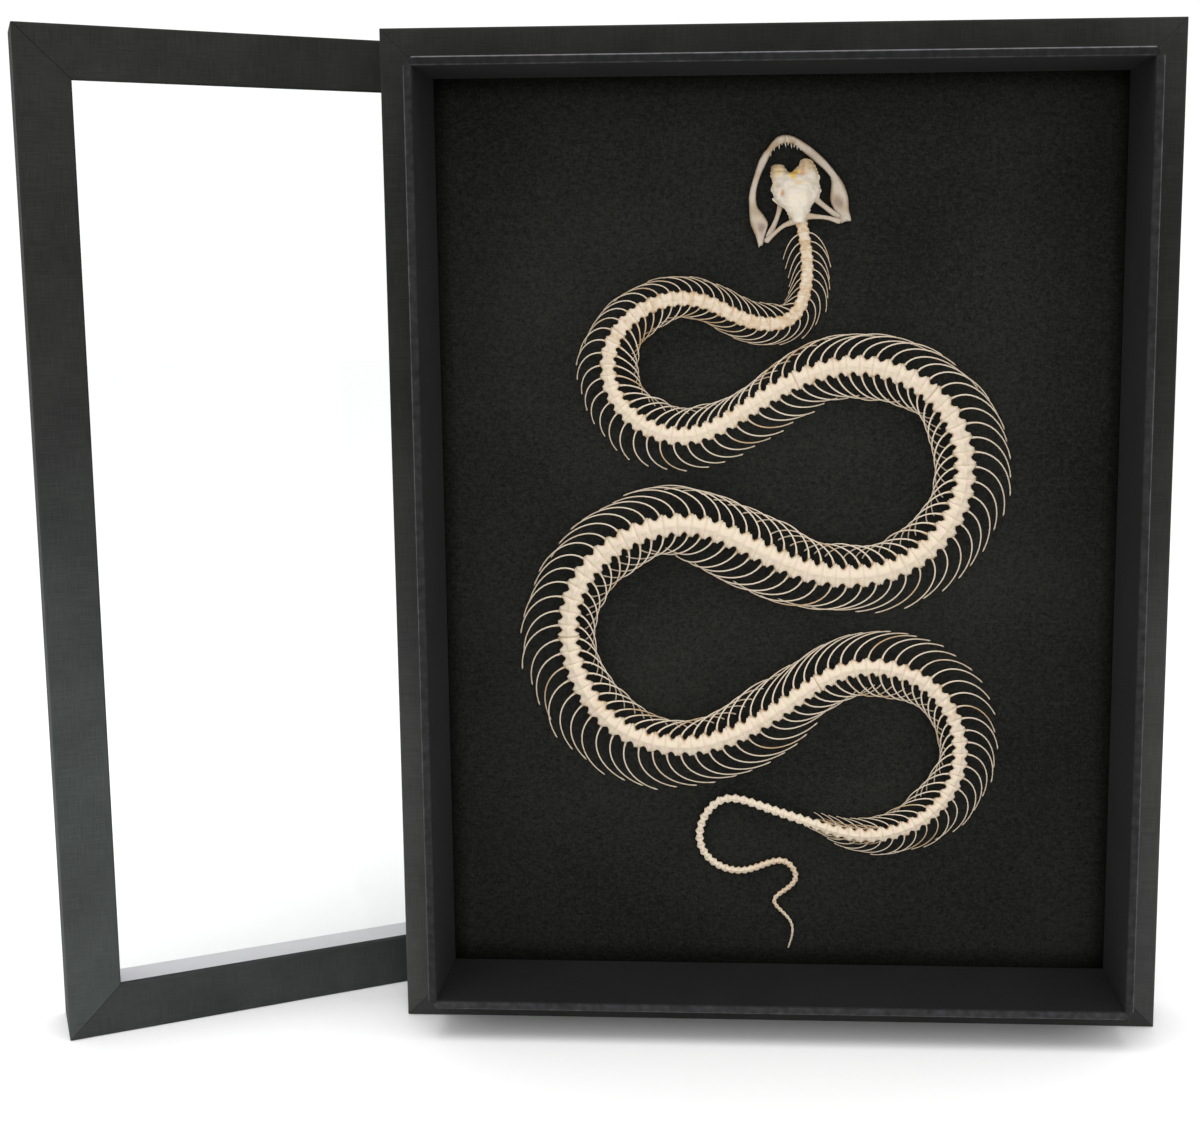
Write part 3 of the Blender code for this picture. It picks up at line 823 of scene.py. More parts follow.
@dataclass
class LooseLid:
    """The windowed lid that stands on its edge behind the box.

    Its corner is the front left one of its foot, round which it is turned about Z.
    """

    cloth: bpy.types.Material
    # A copy of the cloth with less painted light low down: painted shade on the bottom rail.
    foot_cloth: bpy.types.Material
    lining: bpy.types.Material
    pane: bpy.types.Material
    width: float
    height: float
    wall: float = 13.5 * MM
    face: float = 20.5 * MM
    lip: float = 3.0 * MM
    depth: float = 30.0 * MM
    glass: float = 2.0 * MM
    gap: float = 0.3 * MM
    paper: float = 0.25 * MM
    card: float = 1.6 * MM
    mitre_seam: float = 0.16 * MM
    rounding: float = 0.8 * MM
    card_rounding: float = 0.05 * MM
    pane_rounding: float = 0.25 * MM
    corner: Vector = field(default_factory=lambda: Vector((-284.8, -42.1, 0.0)) * MM)
    turn: float = math.radians(26.56)

    def build(self) -> None:
        """Make the lid's pieces."""
        place = Matrix.Translation(self.corner) @ Matrix.Rotation(self.turn, 4, "Z")
        place = place @ Matrix.Translation((self.width / 2, 0, 0))
        behind_pane = self.lip + self.gap + self.glass
        rail_outline = [(0, 0), (self.face, 0), (self.face, self.lip), (self.wall, self.lip),
                        (self.wall, self.depth), (0, self.depth)]
        paper_outline = [(self.wall - self.paper, behind_pane), (self.wall + self.card, behind_pane),
                         (self.wall + self.card, self.depth - self.gap),
                         (self.wall - self.paper, self.depth - self.gap)]
        for edge in Edge:
            rail = Rail(rail_outline, self.width, self.height, edge, seam=self.mitre_seam,
                        rounding=self.rounding).build()
            bmesh.ops.transform(rail, matrix=place, verts=rail.verts)
            # The bottom rail takes the copy with less painted light, as painted shade.
            cloth = self.foot_cloth if edge is Edge.BOTTOM else self.cloth
            add_piece("lid_frame_" + edge.word, rail, cloth,
                      ["lid_rail_" + edge.word], flat_over=FLAT_FACE)
            paper = Rail(paper_outline, self.width, self.height, edge, rounding=self.card_rounding).build()
            bmesh.ops.transform(paper, matrix=place, verts=paper.verts)
            add_piece("lid_lining_" + edge.word, paper, self.lining, flat_over=FLAT_FACE)
        self._pane(place)

    def _pane(self, place: Matrix) -> None:
        """The pane behind the frame's lip, with ground edges.

        Args:
            place: Takes the lid from the origin to where it stands.
        """
        clear = 2 * (self.wall + self.gap)
        size = Vector((self.width - clear, self.glass, self.height - clear))
        middle = Vector((0, self.lip + self.gap + self.glass / 2, self.height / 2))
        bm = bmesh.new()
        bmesh.ops.create_cube(bm, size=1.0)
        bmesh.ops.transform(bm, matrix=Matrix.LocRotScale(middle, None, size), verts=bm.verts)
        bevel(bm, bm.edges[:], self.pane_rounding, 2)
        bmesh.ops.transform(bm, matrix=place, verts=bm.verts)
        add_piece("window_pane", bm, self.pane, ["lid_pane"], flat_over=FLAT_FACE)


# ---- Backbone ------------------------------------------------------------------------------------
# Where the felt's front is, in mm.
FELT_Y = 4.5
# Points that the middle of the backbone passes through, as X and Z in mm, from skull to tail tip.
ROUTE = [
    (9.2, 325.2), (11.5, 305.5), (4.5, 287.5), (-10.0, 286.5), (-29.0, 294.5), (-42.0, 295.5),
    (-66.0, 277.0), (-64.0, 256.5), (-40.0, 241.5), (-3.0, 258.0), (35.0, 269.0), (67.0, 251.0),
    (72.5, 216.0), (51.0, 190.0), (13.0, 187.0), (-9.5, 196.5), (-34.0, 205.5), (-80.0, 181.5),
    (-82.0, 146.5), (-66.0, 123.0), (-36.0, 114.5), (2.5, 131.0), (31.0, 147.0), (64.5, 137.0),
    (73.0, 102.5), (57.5, 82.5), (32.5, 76.5), (14.0, 81.0), (-6.5, 87.5), (-22.5, 89.5),
    (-31.5, 70.5), (-13.0, 59.0), (5.0, 62.0), (8.0, 55.5), (-0.8, 45.8), (5.8, 37.0), (5.1, 25.0),
]
# Sizes that change along the backbone: (distance from the skull, size), both in mm.
HEIGHT = [(0, 6.0), (60, 8.0), (150, 9.0), (700, 9.0), (780, 7.5), (820, 5.5), (860, 2.6),
          (900, 1.7), (970, 0.9)]
HALF_WIDTH = [(0, 2.3), (50, 2.8), (130, 3.3), (155, 3.7), (230, 4.0), (310, 4.4), (400, 4.75),
              (490, 4.6), (550, 4.25), (620, 4.2), (660, 3.75), (700, 3.55), (730, 3.2), (800, 3.1),
              (822, 2.2), (849, 1.8), (880, 1.7), (902, 1.6), (924, 1.4), (940, 1.1), (955, 0.75),
              (970, 0.4)]
PITCH = [(0, 3.4), (36, 3.8), (110, 4.4), (206, 5.1), (300, 5.35), (365, 5.6), (450, 5.65),
         (546, 5.4), (631, 5.4), (690, 5.1), (740, 4.7), (820, 4.6), (821, 3.5), (862, 3.3),
         (886, 3.05), (912, 2.5), (970, 2.0)]
# How far the ribs stand out from the backbone's middle, as (distance from the skull, size) in mm.
RIB_REACH = {
    Side.LEFT: [
        (0, 10), (5, 10.2), (10, 8.3), (15, 6.8), (20, 6.2), (30, 6), (36, 7.5), (46, 8), (60, 8), (80, 9),
        (95, 9.5), (105, 11), (115, 12.3), (122, 14), (130, 13.4), (140, 15.6), (150, 16.7), (185, 16),
        (200, 15.4), (212, 14.2), (220, 13), (235, 13.5), (245, 12.7), (255, 11.5), (264, 10), (272, 9.5),
        (282, 11.2), (292, 12.2), (302, 11.7), (312, 10.8), (322, 10.7), (335, 12), (350, 11.4),
        (360, 10.4), (370, 11.8), (392, 11.8), (400, 13.7), (410, 12.8), (420, 12.8), (432, 14.2),
        (445, 14.8), (480, 15.5), (500, 17.4), (505, 20.6), (515, 21), (525, 23.6), (535, 21.8),
        (545, 23.4), (555, 23.8), (565, 23), (575, 23.2), (585, 21.8), (600, 20.2), (620, 18.4),
        (630, 16.2), (638, 13.9), (650, 12.9), (680, 13), (690, 11.8), (700, 10), (712, 8.4), (735, 7.6),
        (746, 9.3), (757, 9.3), (767, 7.6), (780, 6.4), (795, 5), (808, 4), (820, 3),
    ],
    Side.RIGHT: [
        (0, 10), (5, 10.3), (15, 11), (22, 11.6), (28, 10.5), (35, 8.9), (45, 8.5), (65, 7.8), (75, 7.2),
        (82, 8.8), (90, 9.5), (100, 9.5), (110, 11.3), (125, 11.4), (138, 10.8), (147, 11.6), (160, 11.1),
        (170, 9.8), (180, 8.3), (192, 7.1), (200, 8.1), (212, 10.5), (222, 11.8), (235, 11.8), (250, 13.6),
        (270, 15), (280, 17.2), (290, 18.8), (300, 21.2), (310, 21.4), (320, 19.5), (332, 20), (350, 19.6),
        (360, 17), (372, 15.2), (382, 16.6), (395, 17.8), (405, 18.6), (420, 18.2), (430, 16.6),
        (438, 14.6), (445, 12.4), (455, 11.6), (468, 13.6), (482, 11.8), (495, 12.6), (512, 10.5),
        (530, 9.5), (548, 11), (560, 11.2), (577, 8.9), (598, 9.1), (608, 10.4), (620, 12.5), (635, 10.6),
        (650, 10.8), (668, 13.4), (680, 13.8), (692, 16.6), (718, 18.1), (727, 16.2), (745, 15.4),
        (760, 13.6), (775, 11), (788, 9.6), (797, 7.4), (806, 5), (820, 3.2),
    ],
}
# How far back a rib has swept by the time it has turned 90 degrees.
RIB_SWEEP = {
    Side.LEFT: [
        (0, 20), (15, 16), (30, 12), (60, 13), (100, 14), (122, 12), (140, 11), (160, 13), (200, 18),
        (225, 18), (245, 14), (270, 13), (400, 13), (415, 16), (435, 20), (490, 20), (515, 22), (590, 23),
        (620, 21), (645, 18), (670, 13), (757, 12), (790, 9), (820, 4),
    ],
    Side.RIGHT: [
        (0, 22), (28, 18), (38, 13), (80, 12), (200, 12), (220, 16), (240, 20), (300, 21), (330, 23),
        (360, 24), (400, 21), (425, 18), (440, 14), (470, 13), (600, 13), (622, 16), (645, 20), (690, 21),
        (725, 21), (745, 17), (770, 14), (795, 10), (820, 4),
    ],
}
# How far a rib has turned at its tip, in degrees: past 90 it leans back in towards the backbone.
RIB_TURN = {
    Side.LEFT: [
        (0, 55), (15, 75), (35, 95), (100, 95), (122, 74), (150, 68), (185, 74), (215, 90), (240, 115),
        (260, 148), (280, 160), (395, 160), (415, 132), (435, 105), (460, 92), (490, 84), (510, 72),
        (590, 70), (615, 82), (640, 98), (660, 132), (680, 152), (760, 148), (790, 125), (820, 100),
    ],
    Side.RIGHT: [
        (0, 58), (28, 62), (40, 95), (80, 120), (120, 132), (190, 145), (210, 120), (235, 98), (290, 78),
        (305, 70), (350, 70), (375, 88), (400, 98), (430, 112), (445, 142), (470, 160), (600, 156),
        (622, 130), (645, 102), (685, 76), (700, 68), (722, 70), (745, 82), (775, 95), (800, 110),
        (820, 100),
    ],
}
# Where the glued backbone has opened a little between two vertebrae, and where the tail begins.
LOOSE_JOINTS = (113, 223, 277, 523, 658)
TRUNK_END = 820.0
# A bone's direction at a place is read over this share of its length, before the place and after it.
NEARBY = 0.02


def along(table: Sequence[tuple[float, float]], distance: float) -> float:
    """Read a (distance, size) table, in mm."""
    return float(np.interp(distance, [row[0] for row in table], [row[1] for row in table]))


@dataclass(frozen=True)
class RibCurve:
    """The path of one rib: back along the backbone, out from it and down to the felt.

    It leaves at distance, root out from the middle and at the height high, and turns until its tip is at
    the height low. Lengths are in mm and the turn is in radians.
    """

    spine: "Backbone"
    side: Side
    distance: float
    root: float
    span: float
    sweep: float
    turn: float
    high: float
    low: float

    def at(self, share: float) -> Vector:
        """Find the rib's middle.

        Args:
            share: How far along the rib, from 0 at its root to 1 at its tip.

        Returns:
            The rib's middle there, in metres.
        """
        angle = share * self.turn
        gone = 1 - math.cos(angle)
        out = self.root + self.span * math.sin(angle)
        height = self.high + (self.low - self.high) * gone / (1 - math.cos(self.turn))
        return self.spine.above_felt(self.distance + self.sweep * gone, self.side.value * out, height)

    def frame(self, share: float) -> tuple[Vector, Vector, Vector]:
        """Find the rib's middle and its cross directions.

        Args:
            share: How far along the rib, from 0 to 1.

        Returns:
            The rib's middle, and two directions square to it: sideways and towards the viewer.
        """
        run = (self.at(share + NEARBY) - self.at(share - NEARBY)).normalized()
        across = Vector((0, -1, 0)).cross(run).normalized()
        return self.at(share), across, run.cross(across)


class Backbone:
    """The curve of the backbone, and the frame of the body at any distance along it, in mm."""

    points: int = 8000
    pitch_points: int = 2000
    side_drop: float = 0.1
    rib_root: float = 0.55
    tip_height: float = 0.5

    def __init__(self) -> None:
        """Lay the curve through ROUTE and measure it."""
        self.curve = self._spline(ROUTE, self.points)
        steps = np.hypot(*np.diff(self.curve, axis=0).T)
        self.distance = np.concatenate(([0.0], np.cumsum(steps)))
        self.length = float(self.distance[-1])
        self.heading = np.unwrap(np.arctan2(*np.gradient(self.curve, self.distance, axis=0).T[::-1]))

    @staticmethod
    def _spline(points: Sequence[tuple[float, float]], count: int) -> np.ndarray:
        """Points along the natural cubic spline through the given ones, over their chord lengths.

        Args:
            points: What the curve passes through.
            count: How many points to return.

        Returns:
            The points, one row each.
        """
        knots_at = np.array(points, float)
        steps = np.hypot(*np.diff(knots_at, axis=0).T)
        knots = np.concatenate(([0.0], np.cumsum(steps)))
        size = len(knots_at)
        matrix = np.eye(size)
        right = np.zeros((size, 2))
        slopes = np.diff(knots_at, axis=0) / steps[:, None]
        for i in range(1, size - 1):
            matrix[i, i - 1:i + 2] = steps[i - 1], 2 * (steps[i - 1] + steps[i]), steps[i]
            right[i] = 6 * (slopes[i] - slopes[i - 1])
        bends = np.linalg.solve(matrix, right)
        places = np.linspace(0, knots[-1], count)
        span = np.clip(np.searchsorted(knots, places, side="right") - 1, 0, size - 2)
        width = steps[span][:, None]
        near = (places - knots[span])[:, None] / width
        far = 1 - near
        bow = (far ** 3 - far) * bends[span] + (near ** 3 - near) * bends[span + 1]
        return far * knots_at[span] + near * knots_at[span + 1] + bow * width ** 2 / 6

    def read(self, values: np.ndarray, distance: float) -> float:
        """One of the curve's values at a distance."""
        return float(np.interp(distance, self.distance, values))

    def tailward(self, distance: float) -> Vector:
        """The direction towards the tail."""
        angle = self.read(self.heading, distance)
        return Vector((math.cos(angle), 0, math.sin(angle)))

    def sideways(self, distance: float, side: Side) -> Vector:
        """The direction out of the body to one side."""
        ahead = self.tailward(distance)
        return Vector((-ahead.z, 0, ahead.x)) * side.value

    def above_felt(self, distance: float, out: float, height: float) -> Vector:
        """Find a point by its place on the body, in mm.

        Args:
            distance: How far along the backbone.
            out: How far to the animal's right of its middle.
            height: How high above the felt.

        Returns:
            The point, in metres.
        """
        x = self.read(self.curve[:, 0], distance)
        z = self.read(self.curve[:, 1], distance)
        return (Vector((x, FELT_Y - height, z)) + self.sideways(distance, Side.RIGHT) * out) * MM

    def place(self, distance: float, out: float, up: float) -> Vector:
        """A point in metres: out to the animal's right of the backbone's middle, and up from it."""
        return self.above_felt(distance, out, along(HEIGHT, distance) + up)

    def joints(self, start: float, end: float, count: int) -> list[float]:
        """Where the vertebrae meet.

        Args:
            start: Distance of the first joint.
            end: Distance of the last.
            count: Vertebrae between them.

        Returns:
            count + 1 distances, evened out from the lengths that PITCH gives.
        """
        places = np.linspace(start, end, self.pitch_points)
        density = np.array([1 / along(PITCH, place) for place in places])
        tally = np.concatenate(([0.0], np.cumsum((density[1:] + density[:-1]) / 2 * np.diff(places))))
        return [float(np.interp(i * tally[-1] / count, tally, places)) for i in range(count + 1)]

    def rib(self, distance: float, side: Side, uneven: tuple[float, float]) -> RibCurve:
        """The curve of the rib that leaves the backbone at a distance.

        Args:
            distance: Where it leaves.
            side: To which side.
            uneven: Shares by which its reach and its sweep differ from the rule.

        Returns:
            The curve.
        """
        half = along(HALF_WIDTH, distance)
        root = self.rib_root * half
        return RibCurve(
            spine=self,
            side=side,
            distance=distance,
            root=root,
            span=along(RIB_REACH[side], distance) * (1 + uneven[0]) - root,
            sweep=along(RIB_SWEEP[side], distance) * (1 + uneven[1]),
            turn=math.radians(along(RIB_TURN[side], distance)),
            high=along(HEIGHT, distance) - self.side_drop * half,
            low=self.tip_height,
        )


@dataclass(frozen=True)
class VertebraRing:
    """One ring of a vertebra: shares of its length along, and of its half width across and up."""

    along: float
    wing: float
    lift: float
    thick: float
    roof: float
    crest: float
    body: float
    keel: float
    set_back: float = 0.0

    def outline(self) -> list[tuple[float, float, float]]:
        """Draw half of the ring.

        Returns:
            Points across, along and up, from the crest down to the keel.
        """
        back = self.along + self.set_back
        low = self.along + 0.3 * self.set_back
        edge = self.lift + self.thick / 2
        return [
            (0.0, back, self.crest),
            (0.14, back, self.roof + 0.35 * (self.crest - self.roof)),
            (0.46 * self.wing, back, 0.93 * self.roof),
            (0.80 * self.wing, self.along + 0.5 * self.set_back, edge + 0.62 * (0.93 * self.roof - edge)),
            (self.wing, self.along, edge - 0.04),
            (0.96 * self.wing, self.along, self.lift - self.thick / 2),
            (self.body, low, -0.4 * self.keel),
            (0.0, low, -self.keel),
        ]


TRUNK_RINGS = [
    VertebraRing(-0.08, 0.80, 0.00, 0.24, 0.50, 0.50, 0.40, 0.60, 0.06),
    VertebraRing(0.06, 1.04, -0.04, 0.34, 0.63, 0.68, 0.48, 0.76, 0.04),
    VertebraRing(0.22, 0.99, -0.02, 0.46, 0.68, 0.78, 0.50, 0.84),
    VertebraRing(0.36, 0.80, 0.03, 0.46, 0.71, 0.88, 0.46, 0.82),
    VertebraRing(0.52, 0.60, 0.12, 0.42, 0.70, 0.95, 0.42, 0.80),
    VertebraRing(0.70, 0.67, 0.22, 0.38, 0.69, 0.95, 0.42, 0.78),
    VertebraRing(0.88, 1.00, 0.26, 0.34, 0.67, 0.86, 0.40, 0.74),
    VertebraRing(1.09, 0.90, 0.18, 0.28, 0.61, 0.66, 0.34, 0.56, 0.03),
]
TAIL_RINGS = [
    VertebraRing(-0.08, 0.80, 0.05, 0.30, 0.54, 0.56, 0.40, 0.60, 0.06),
    VertebraRing(0.10, 1.10, 0.04, 0.40, 0.62, 0.66, 0.50, 0.78, 0.04),
    VertebraRing(0.32, 0.88, 0.05, 0.46, 0.66, 0.76, 0.52, 0.84),
    VertebraRing(0.56, 0.56, 0.12, 0.44, 0.67, 0.82, 0.48, 0.80),
    VertebraRing(0.82, 0.86, 0.20, 0.38, 0.65, 0.78, 0.46, 0.74),
    VertebraRing(1.08, 0.86, 0.18, 0.30, 0.60, 0.66, 0.40, 0.55, 0.03),
]


def vertebra_template(rings: Sequence[VertebraRing], name: str) -> Template:
    """A whole vertebra in unit coordinates: across, along and up.

    Args:
        rings: Its rings from front to back.
        name: The mesh's name.

    Returns:
        The template.
    """
    outlines = [ring.outline() for ring in rings]
    rows, columns = len(outlines), len(outlines[0])
    bm = bmesh.new()
    bmesh.ops.create_grid(bm, x_segments=columns - 1, y_segments=rows - 1, size=1.0)
    for vert in bm.verts:
        column = round((vert.co.x + 1) / 2 * (columns - 1))
        row = round((vert.co.y + 1) / 2 * (rows - 1))
        vert.co = outlines[row][column]
    bmesh.ops.mirror(bm, geom=bm.verts[:] + bm.edges[:] + bm.faces[:], axis="X", merge_dist=1e-4)
    close_holes(bm)
    return Template(bm, name)


@dataclass
class Trunk:
    """The neck and the trunk: vertebrae and ribs, in ten lengths.

    Half the ribs' thickness, the lean and start_at are in mm, and the rest are shares.
    """

    spine: Backbone
    neck_bone: bpy.types.Material
    body_bone: bpy.types.Material
    vertebrae: int = 166
    lengths: int = 10
    first_rib: int = 1
    start_at: float = 0.3
    rib_behind: float = 0.22
    uneven: float = 0.05
    seed: int = 7
    neck_tan: float = 0.34
    tail_tan: float = 0.1
    mottle: float = 0.22
    loose_length: float = 0.88
    lean: float = 0.5
    neck_fill: float = 0.42
    rib_sides: int = 5
    rib_cuts: int = 14
    rib_thick: float = 0.34
    rib_taper: float = 0.08
    rib_root_thick: float = 0.4
    rib_knob: float = 0.1

    def build(self) -> None:
        """Make every length's vertebrae and its ribs on both sides."""
        rng = random.Random(self.seed)
        joints = self.spine.joints(self.start_at, TRUNK_END, self.vertebrae)
        cuts = [round(i * self.vertebrae / self.lengths) for i in range(self.lengths + 1)]
        spread = {side: [(rng.uniform(-self.uneven, self.uneven), rng.uniform(-self.uneven, self.uneven))
                         for _ in joints] for side in Side}
        shape = vertebra_template(TRUNK_RINGS, "trunk_vertebra")
        tube = Template.tube(self.rib_sides, self.rib_cuts)
        for number, (first, last) in enumerate(zip(cuts, cuts[1:])):
            word = "neck" if number == 0 else "trunk_%d" % number
            bone = self.neck_bone if number == 0 else self.body_bone
            bm = new_bone_mesh()
            for i in range(first, last):
                self._add_vertebra(bm, shape, joints[i], joints[i + 1])
            add_piece(word + "_vertebrae", bm, bone, [word + "_left", word + "_right"])
            for side in Side:
                bm = new_bone_mesh()
                for i in range(max(first, self.first_rib), last):
                    distance = joints[i] + self.rib_behind * (joints[i + 1] - joints[i])
                    self._add_rib(bm, tube, distance, self.spine.rib(distance, side, spread[side][i]))
                add_piece("%s_ribs_%s" % (word, side.word), bm, bone, ["%s_%s" % (word, side.word)])

    def _tan_at(self, distance: float) -> float:
        """How much darker the bone is near the skull and where the tail begins."""
        return self.neck_tan * (1 - step(30, 190, distance)) + self.tail_tan * step(740, 815, distance)

    def _add_vertebra(self, bm: bmesh.types.BMesh, shape: Template, front: float, rear: float) -> None:
        """Add the vertebra between two joints.

        Args:
            bm: The mesh that grows.
            shape: The vertebra's shape.
            front: Distance of the joint in front of it.
            rear: Distance of the joint behind it.
        """
        half = along(HALF_WIDTH, (front + rear) / 2)
        base = self._tan_at(front) + self.mottle * noise.noise(Vector((front * 0.37, 2.0, 5.0)))
        loose = any(front < gap <= rear for gap in LOOSE_JOINTS)
        length = (self.loose_length if loose else 1.0) * (rear - front)
        lean = self.lean * noise.noise(Vector((front * 0.61, 9.0, 1.0)))
        filled = self.neck_fill * (1 - step(50, 150, front))

        def place(spot: Vector) -> Vector:
            """Place a point of the vertebra on the backbone's curve; the neck's are less waisted.

            Args:
                spot: The point in the template's units.

            Returns:
                Its place in metres.
            """
            where = front + spot.y * length + lean * spot.x * step(0.5, 1.0, spot.y)
            wide = half * (1 + filled * hill(spot.y - 0.56, 0.24))
            return self.spine.place(where, spot.x * wide, spot.z * half)

        def marks(spot: Vector) -> Numbers:
            """Cream above, tan at the wings' edges and low down, and brown in the notches: partly oil stain,
            partly painted shade.

            Args:
                spot: The point in the template's units.

            Returns:
                The numbers to store there.
            """
            low = 1 - step(-0.45, 0.2, spot.z)
            rim = step(0.8, 1.0, abs(spot.x)) * 0.18
            # Brown in the notches between the wings: partly oil stain, partly painted shade.
            notch = hill(spot.y - 0.52, 0.2) * step(0.32, 0.56, abs(spot.x))
            seam = hill(spot.y - 0.03, 0.12) * step(0.08, 0.4, abs(spot.x)) * 0.2
            mottle = 0.4 * noise.noise(Vector((spot.x * 1.7, front * 0.9 + spot.y * 3, spot.z)))
            return {AGE: base + 0.8 * low + rim + seam + mottle + 1.1 * notch * (1 - step(0.1, 0.7, spot.z))}

        shape.stamp(bm, place, marks)

    def _add_rib(self, bm: bmesh.types.BMesh, tube: Template, distance: float, curve: RibCurve) -> None:
        """Add one rib: a swollen head, a slim shaft and a small blunt knob at the tip.

        Args:
            bm: The mesh that grows.
            tube: The tube that is bent.
            distance: Where the rib leaves the backbone.
            curve: The rib's path.
        """
        base = self._tan_at(distance)
        scale = 0.7 + 0.3 * step(0, 220, distance) - 0.3 * step(700, 820, distance)
        streak = 0.6 * step(0.1, 0.35, noise.noise(Vector((distance * 0.9, 3.0 * curve.side.value, 0))))
        frames: dict[float, tuple[Vector, Vector, Vector]] = {}

        def thickness(share: float) -> float:
            """Find how thick the rib is.

            Args:
                share: How far along the rib, from 0 to 1.

            Returns:
                Half its thickness there, in metres.
            """
            swollen = self.rib_root_thick * hill(share, 0.1) + self.rib_knob * hill(share - 0.985, 0.022)
            end = 0.55 if share > 0.995 else 1.0
            return (self.rib_thick - self.rib_taper * share + swollen) * scale * end * MM

        def spread(share: float) -> float:
            """Rings crowd together at the knob."""
            return 1 - (1 - share) ** 1.35 if share < 0.95 else share

        def place(spot: Vector) -> Vector:
            """Place a point round the rib.

            Args:
                spot: The point in the template's units.

            Returns:
                Its place in metres.
            """
            share = round(spread(spot.z), 4)
            if share not in frames:
                frames[share] = curve.frame(share)
            middle, across, rise = frames[share]
            return middle + (across * spot.x + rise * spot.y * 0.85) * thickness(share)

        def marks(spot: Vector) -> Numbers:
            """Tan at the head and towards the tip, with a pale knob.

            Args:
                spot: The point in the template's units.

            Returns:
                The numbers to store there.
            """
            share = spread(spot.z)
            tip = step(0.5, 0.95, share) * (1 - step(0.965, 0.985, share))
            age = base * 0.6 + 0.06 + 0.6 * hill(share, 0.1) + 0.2 * tip
            return {AGE: age + streak * hill(share - 0.5, 0.3)}

        tube.stamp(bm, place, marks)


@dataclass
class Tail:
    """The tail's vertebrae, in three lengths, and the dry bristles where it begins.

    On each side the bristles start over bristles_run from bristles_from on, in mm along the backbone.
    """

    spine: Backbone
    bone: bpy.types.Material
    vertebrae: int = 55
    lengths: int = 3
    bristles: int = 14
    bristles_from: float = 792.0
    bristles_run: float = 24.0
    bristle_sides: int = 5
    bristle_cuts: int = 4
    bristle_thick: float = 0.22
    seed: int = 11

    def build(self) -> None:
        """Make the tail's pieces."""
        joints = self.spine.joints(TRUNK_END, self.spine.length, self.vertebrae)
        cuts = [round(i * self.vertebrae / self.lengths) for i in range(self.lengths + 1)]
        shape = vertebra_template(TAIL_RINGS, "tail_vertebra")
        for number, (first, last) in enumerate(zip(cuts, cuts[1:]), 1):
            bm = new_bone_mesh()
            for i in range(first, last):
                self._add_vertebra(bm, shape, joints[i], joints[i + 1])
            add_piece("tail_vertebrae_%d" % number, bm, self.bone, ["tail_%d" % number])
        self._add_bristles()

    def _add_vertebra(self, bm: bmesh.types.BMesh, shape: Template, front: float, rear: float) -> None:
        """Add the vertebra between two joints.

        Args:
            bm: The mesh that grows.
            shape: The vertebra's shape.
            front: Distance of the joint in front of it.
            rear: Distance of the joint behind it.
        """
        half = along(HALF_WIDTH, (front + rear) / 2)
        base = 0.42 * step(870, 925, front) * (1 - 0.5 * step(935, 965, front))

        def place(spot: Vector) -> Vector:
            """A point of the vertebra, bent to the backbone's curve."""
            where = min(front + spot.y * (rear - front), self.spine.length)
            return self.spine.place(where, spot.x * half, spot.z * half)

        def marks(spot: Vector) -> Numbers:
            """Cream above and tan below."""
            rim = 0.25 * step(0.6, 1.0, abs(spot.x))
            return {AGE: base + rim - 0.05 + 0.6 * (1 - step(-0.4, 0.2, spot.z))}

        shape.stamp(bm, place, marks)

    def _add_bristles(self) -> None:
        """Short tan bristles of dried sinew on both sides of the tail's root."""
        rng = random.Random(self.seed)
        tube = Template.tube(self.bristle_sides, self.bristle_cuts)
        bm = new_bone_mesh()
        for side in Side:
            for i in range(self.bristles):
                start = self.bristles_from + self.bristles_run * i / (self.bristles - 1)
                self._add_bristle(bm, tube, side, start + rng.uniform(-0.8, 0.8), rng)
        add_piece("tail_root_bristles", bm, self.bone)

    def _add_bristle(self, bm: bmesh.types.BMesh, tube: Template, side: Side, start: float,
                     rng: random.Random) -> None:
        """Add one bristle.

        Args:
            bm: The mesh that grows.
            tube: The tube that is bent.
            side: The side that it lies on.
            start: Distance of its front end.
            rng: Gives its length, flare and drop.
        """
        end = min(start + rng.uniform(6, 10), TRUNK_END + rng.uniform(-2.0, 1.0))
        out = 0.75 * along(HALF_WIDTH, start)
        flare = rng.uniform(0.5, 1.9) * (1 - 0.7 * step(795, 818, start))
        drop = rng.uniform(-1.0, 1.6)

        def place(spot: Vector) -> Vector:
            """Place a point round the bristle.

            Args:
                spot: The point in the template's units.

            Returns:
                Its place in metres.
            """
            share = spot.z
            far = out + flare * math.sin(share * 2.2)
            thick = self.bristle_thick * (1 - 0.7 * share)
            up = -0.4 - drop * share
            where = start + (end - start) * share
            return self.spine.place(where, side.value * (far + spot.x * thick), up + spot.y * thick)

        tube.stamp(bm, place, lambda spot: {AGE: 0.35 + 0.4 * spot.z})


# ---- Skull ---------------------------------------------------------------------------------------
# Each section: Z, left X, right X, underside and top above the felt, in mm.
CRANIUM = [
    (344.5, -2.7, 15.2, 4.4, 7.9), (343.4, -3.0, 16.1, 3.7, 8.7), (342.2, -2.6, 16.4, 3.3, 9.2),
    (341.0, -2.2, 16.1, 3.1, 9.7), (339.8, -2.2, 16.2, 3.0, 10.2), (338.7, -2.6, 16.5, 2.9, 10.5),
    (337.5, -2.8, 16.9, 2.9, 10.7), (336.8, -2.4, 16.8, 2.9, 10.8), (335.8, -1.8, 16.3, 2.9, 10.9),
    (334.9, -1.7, 16.2, 3.0, 10.9), (334.3, -2.2, 15.9, 3.0, 10.9), (333.6, -1.9, 15.2, 3.0, 10.9),
    (332.9, -1.1, 14.3, 3.0, 10.8), (332.1, -0.1, 13.6, 3.0, 10.7), (331.3, 1.2, 13.1, 3.1, 10.5),
    (330.5, 2.4, 12.8, 3.2, 10.3), (329.4, 3.3, 12.6, 3.3, 9.9), (327.9, 4.0, 12.2, 3.4, 9.5),
    (326.4, 4.5, 11.8, 3.6, 9.0), (325.2, 5.2, 11.1, 3.9, 8.5), (324.1, 6.3, 10.0, 4.3, 7.8),
]
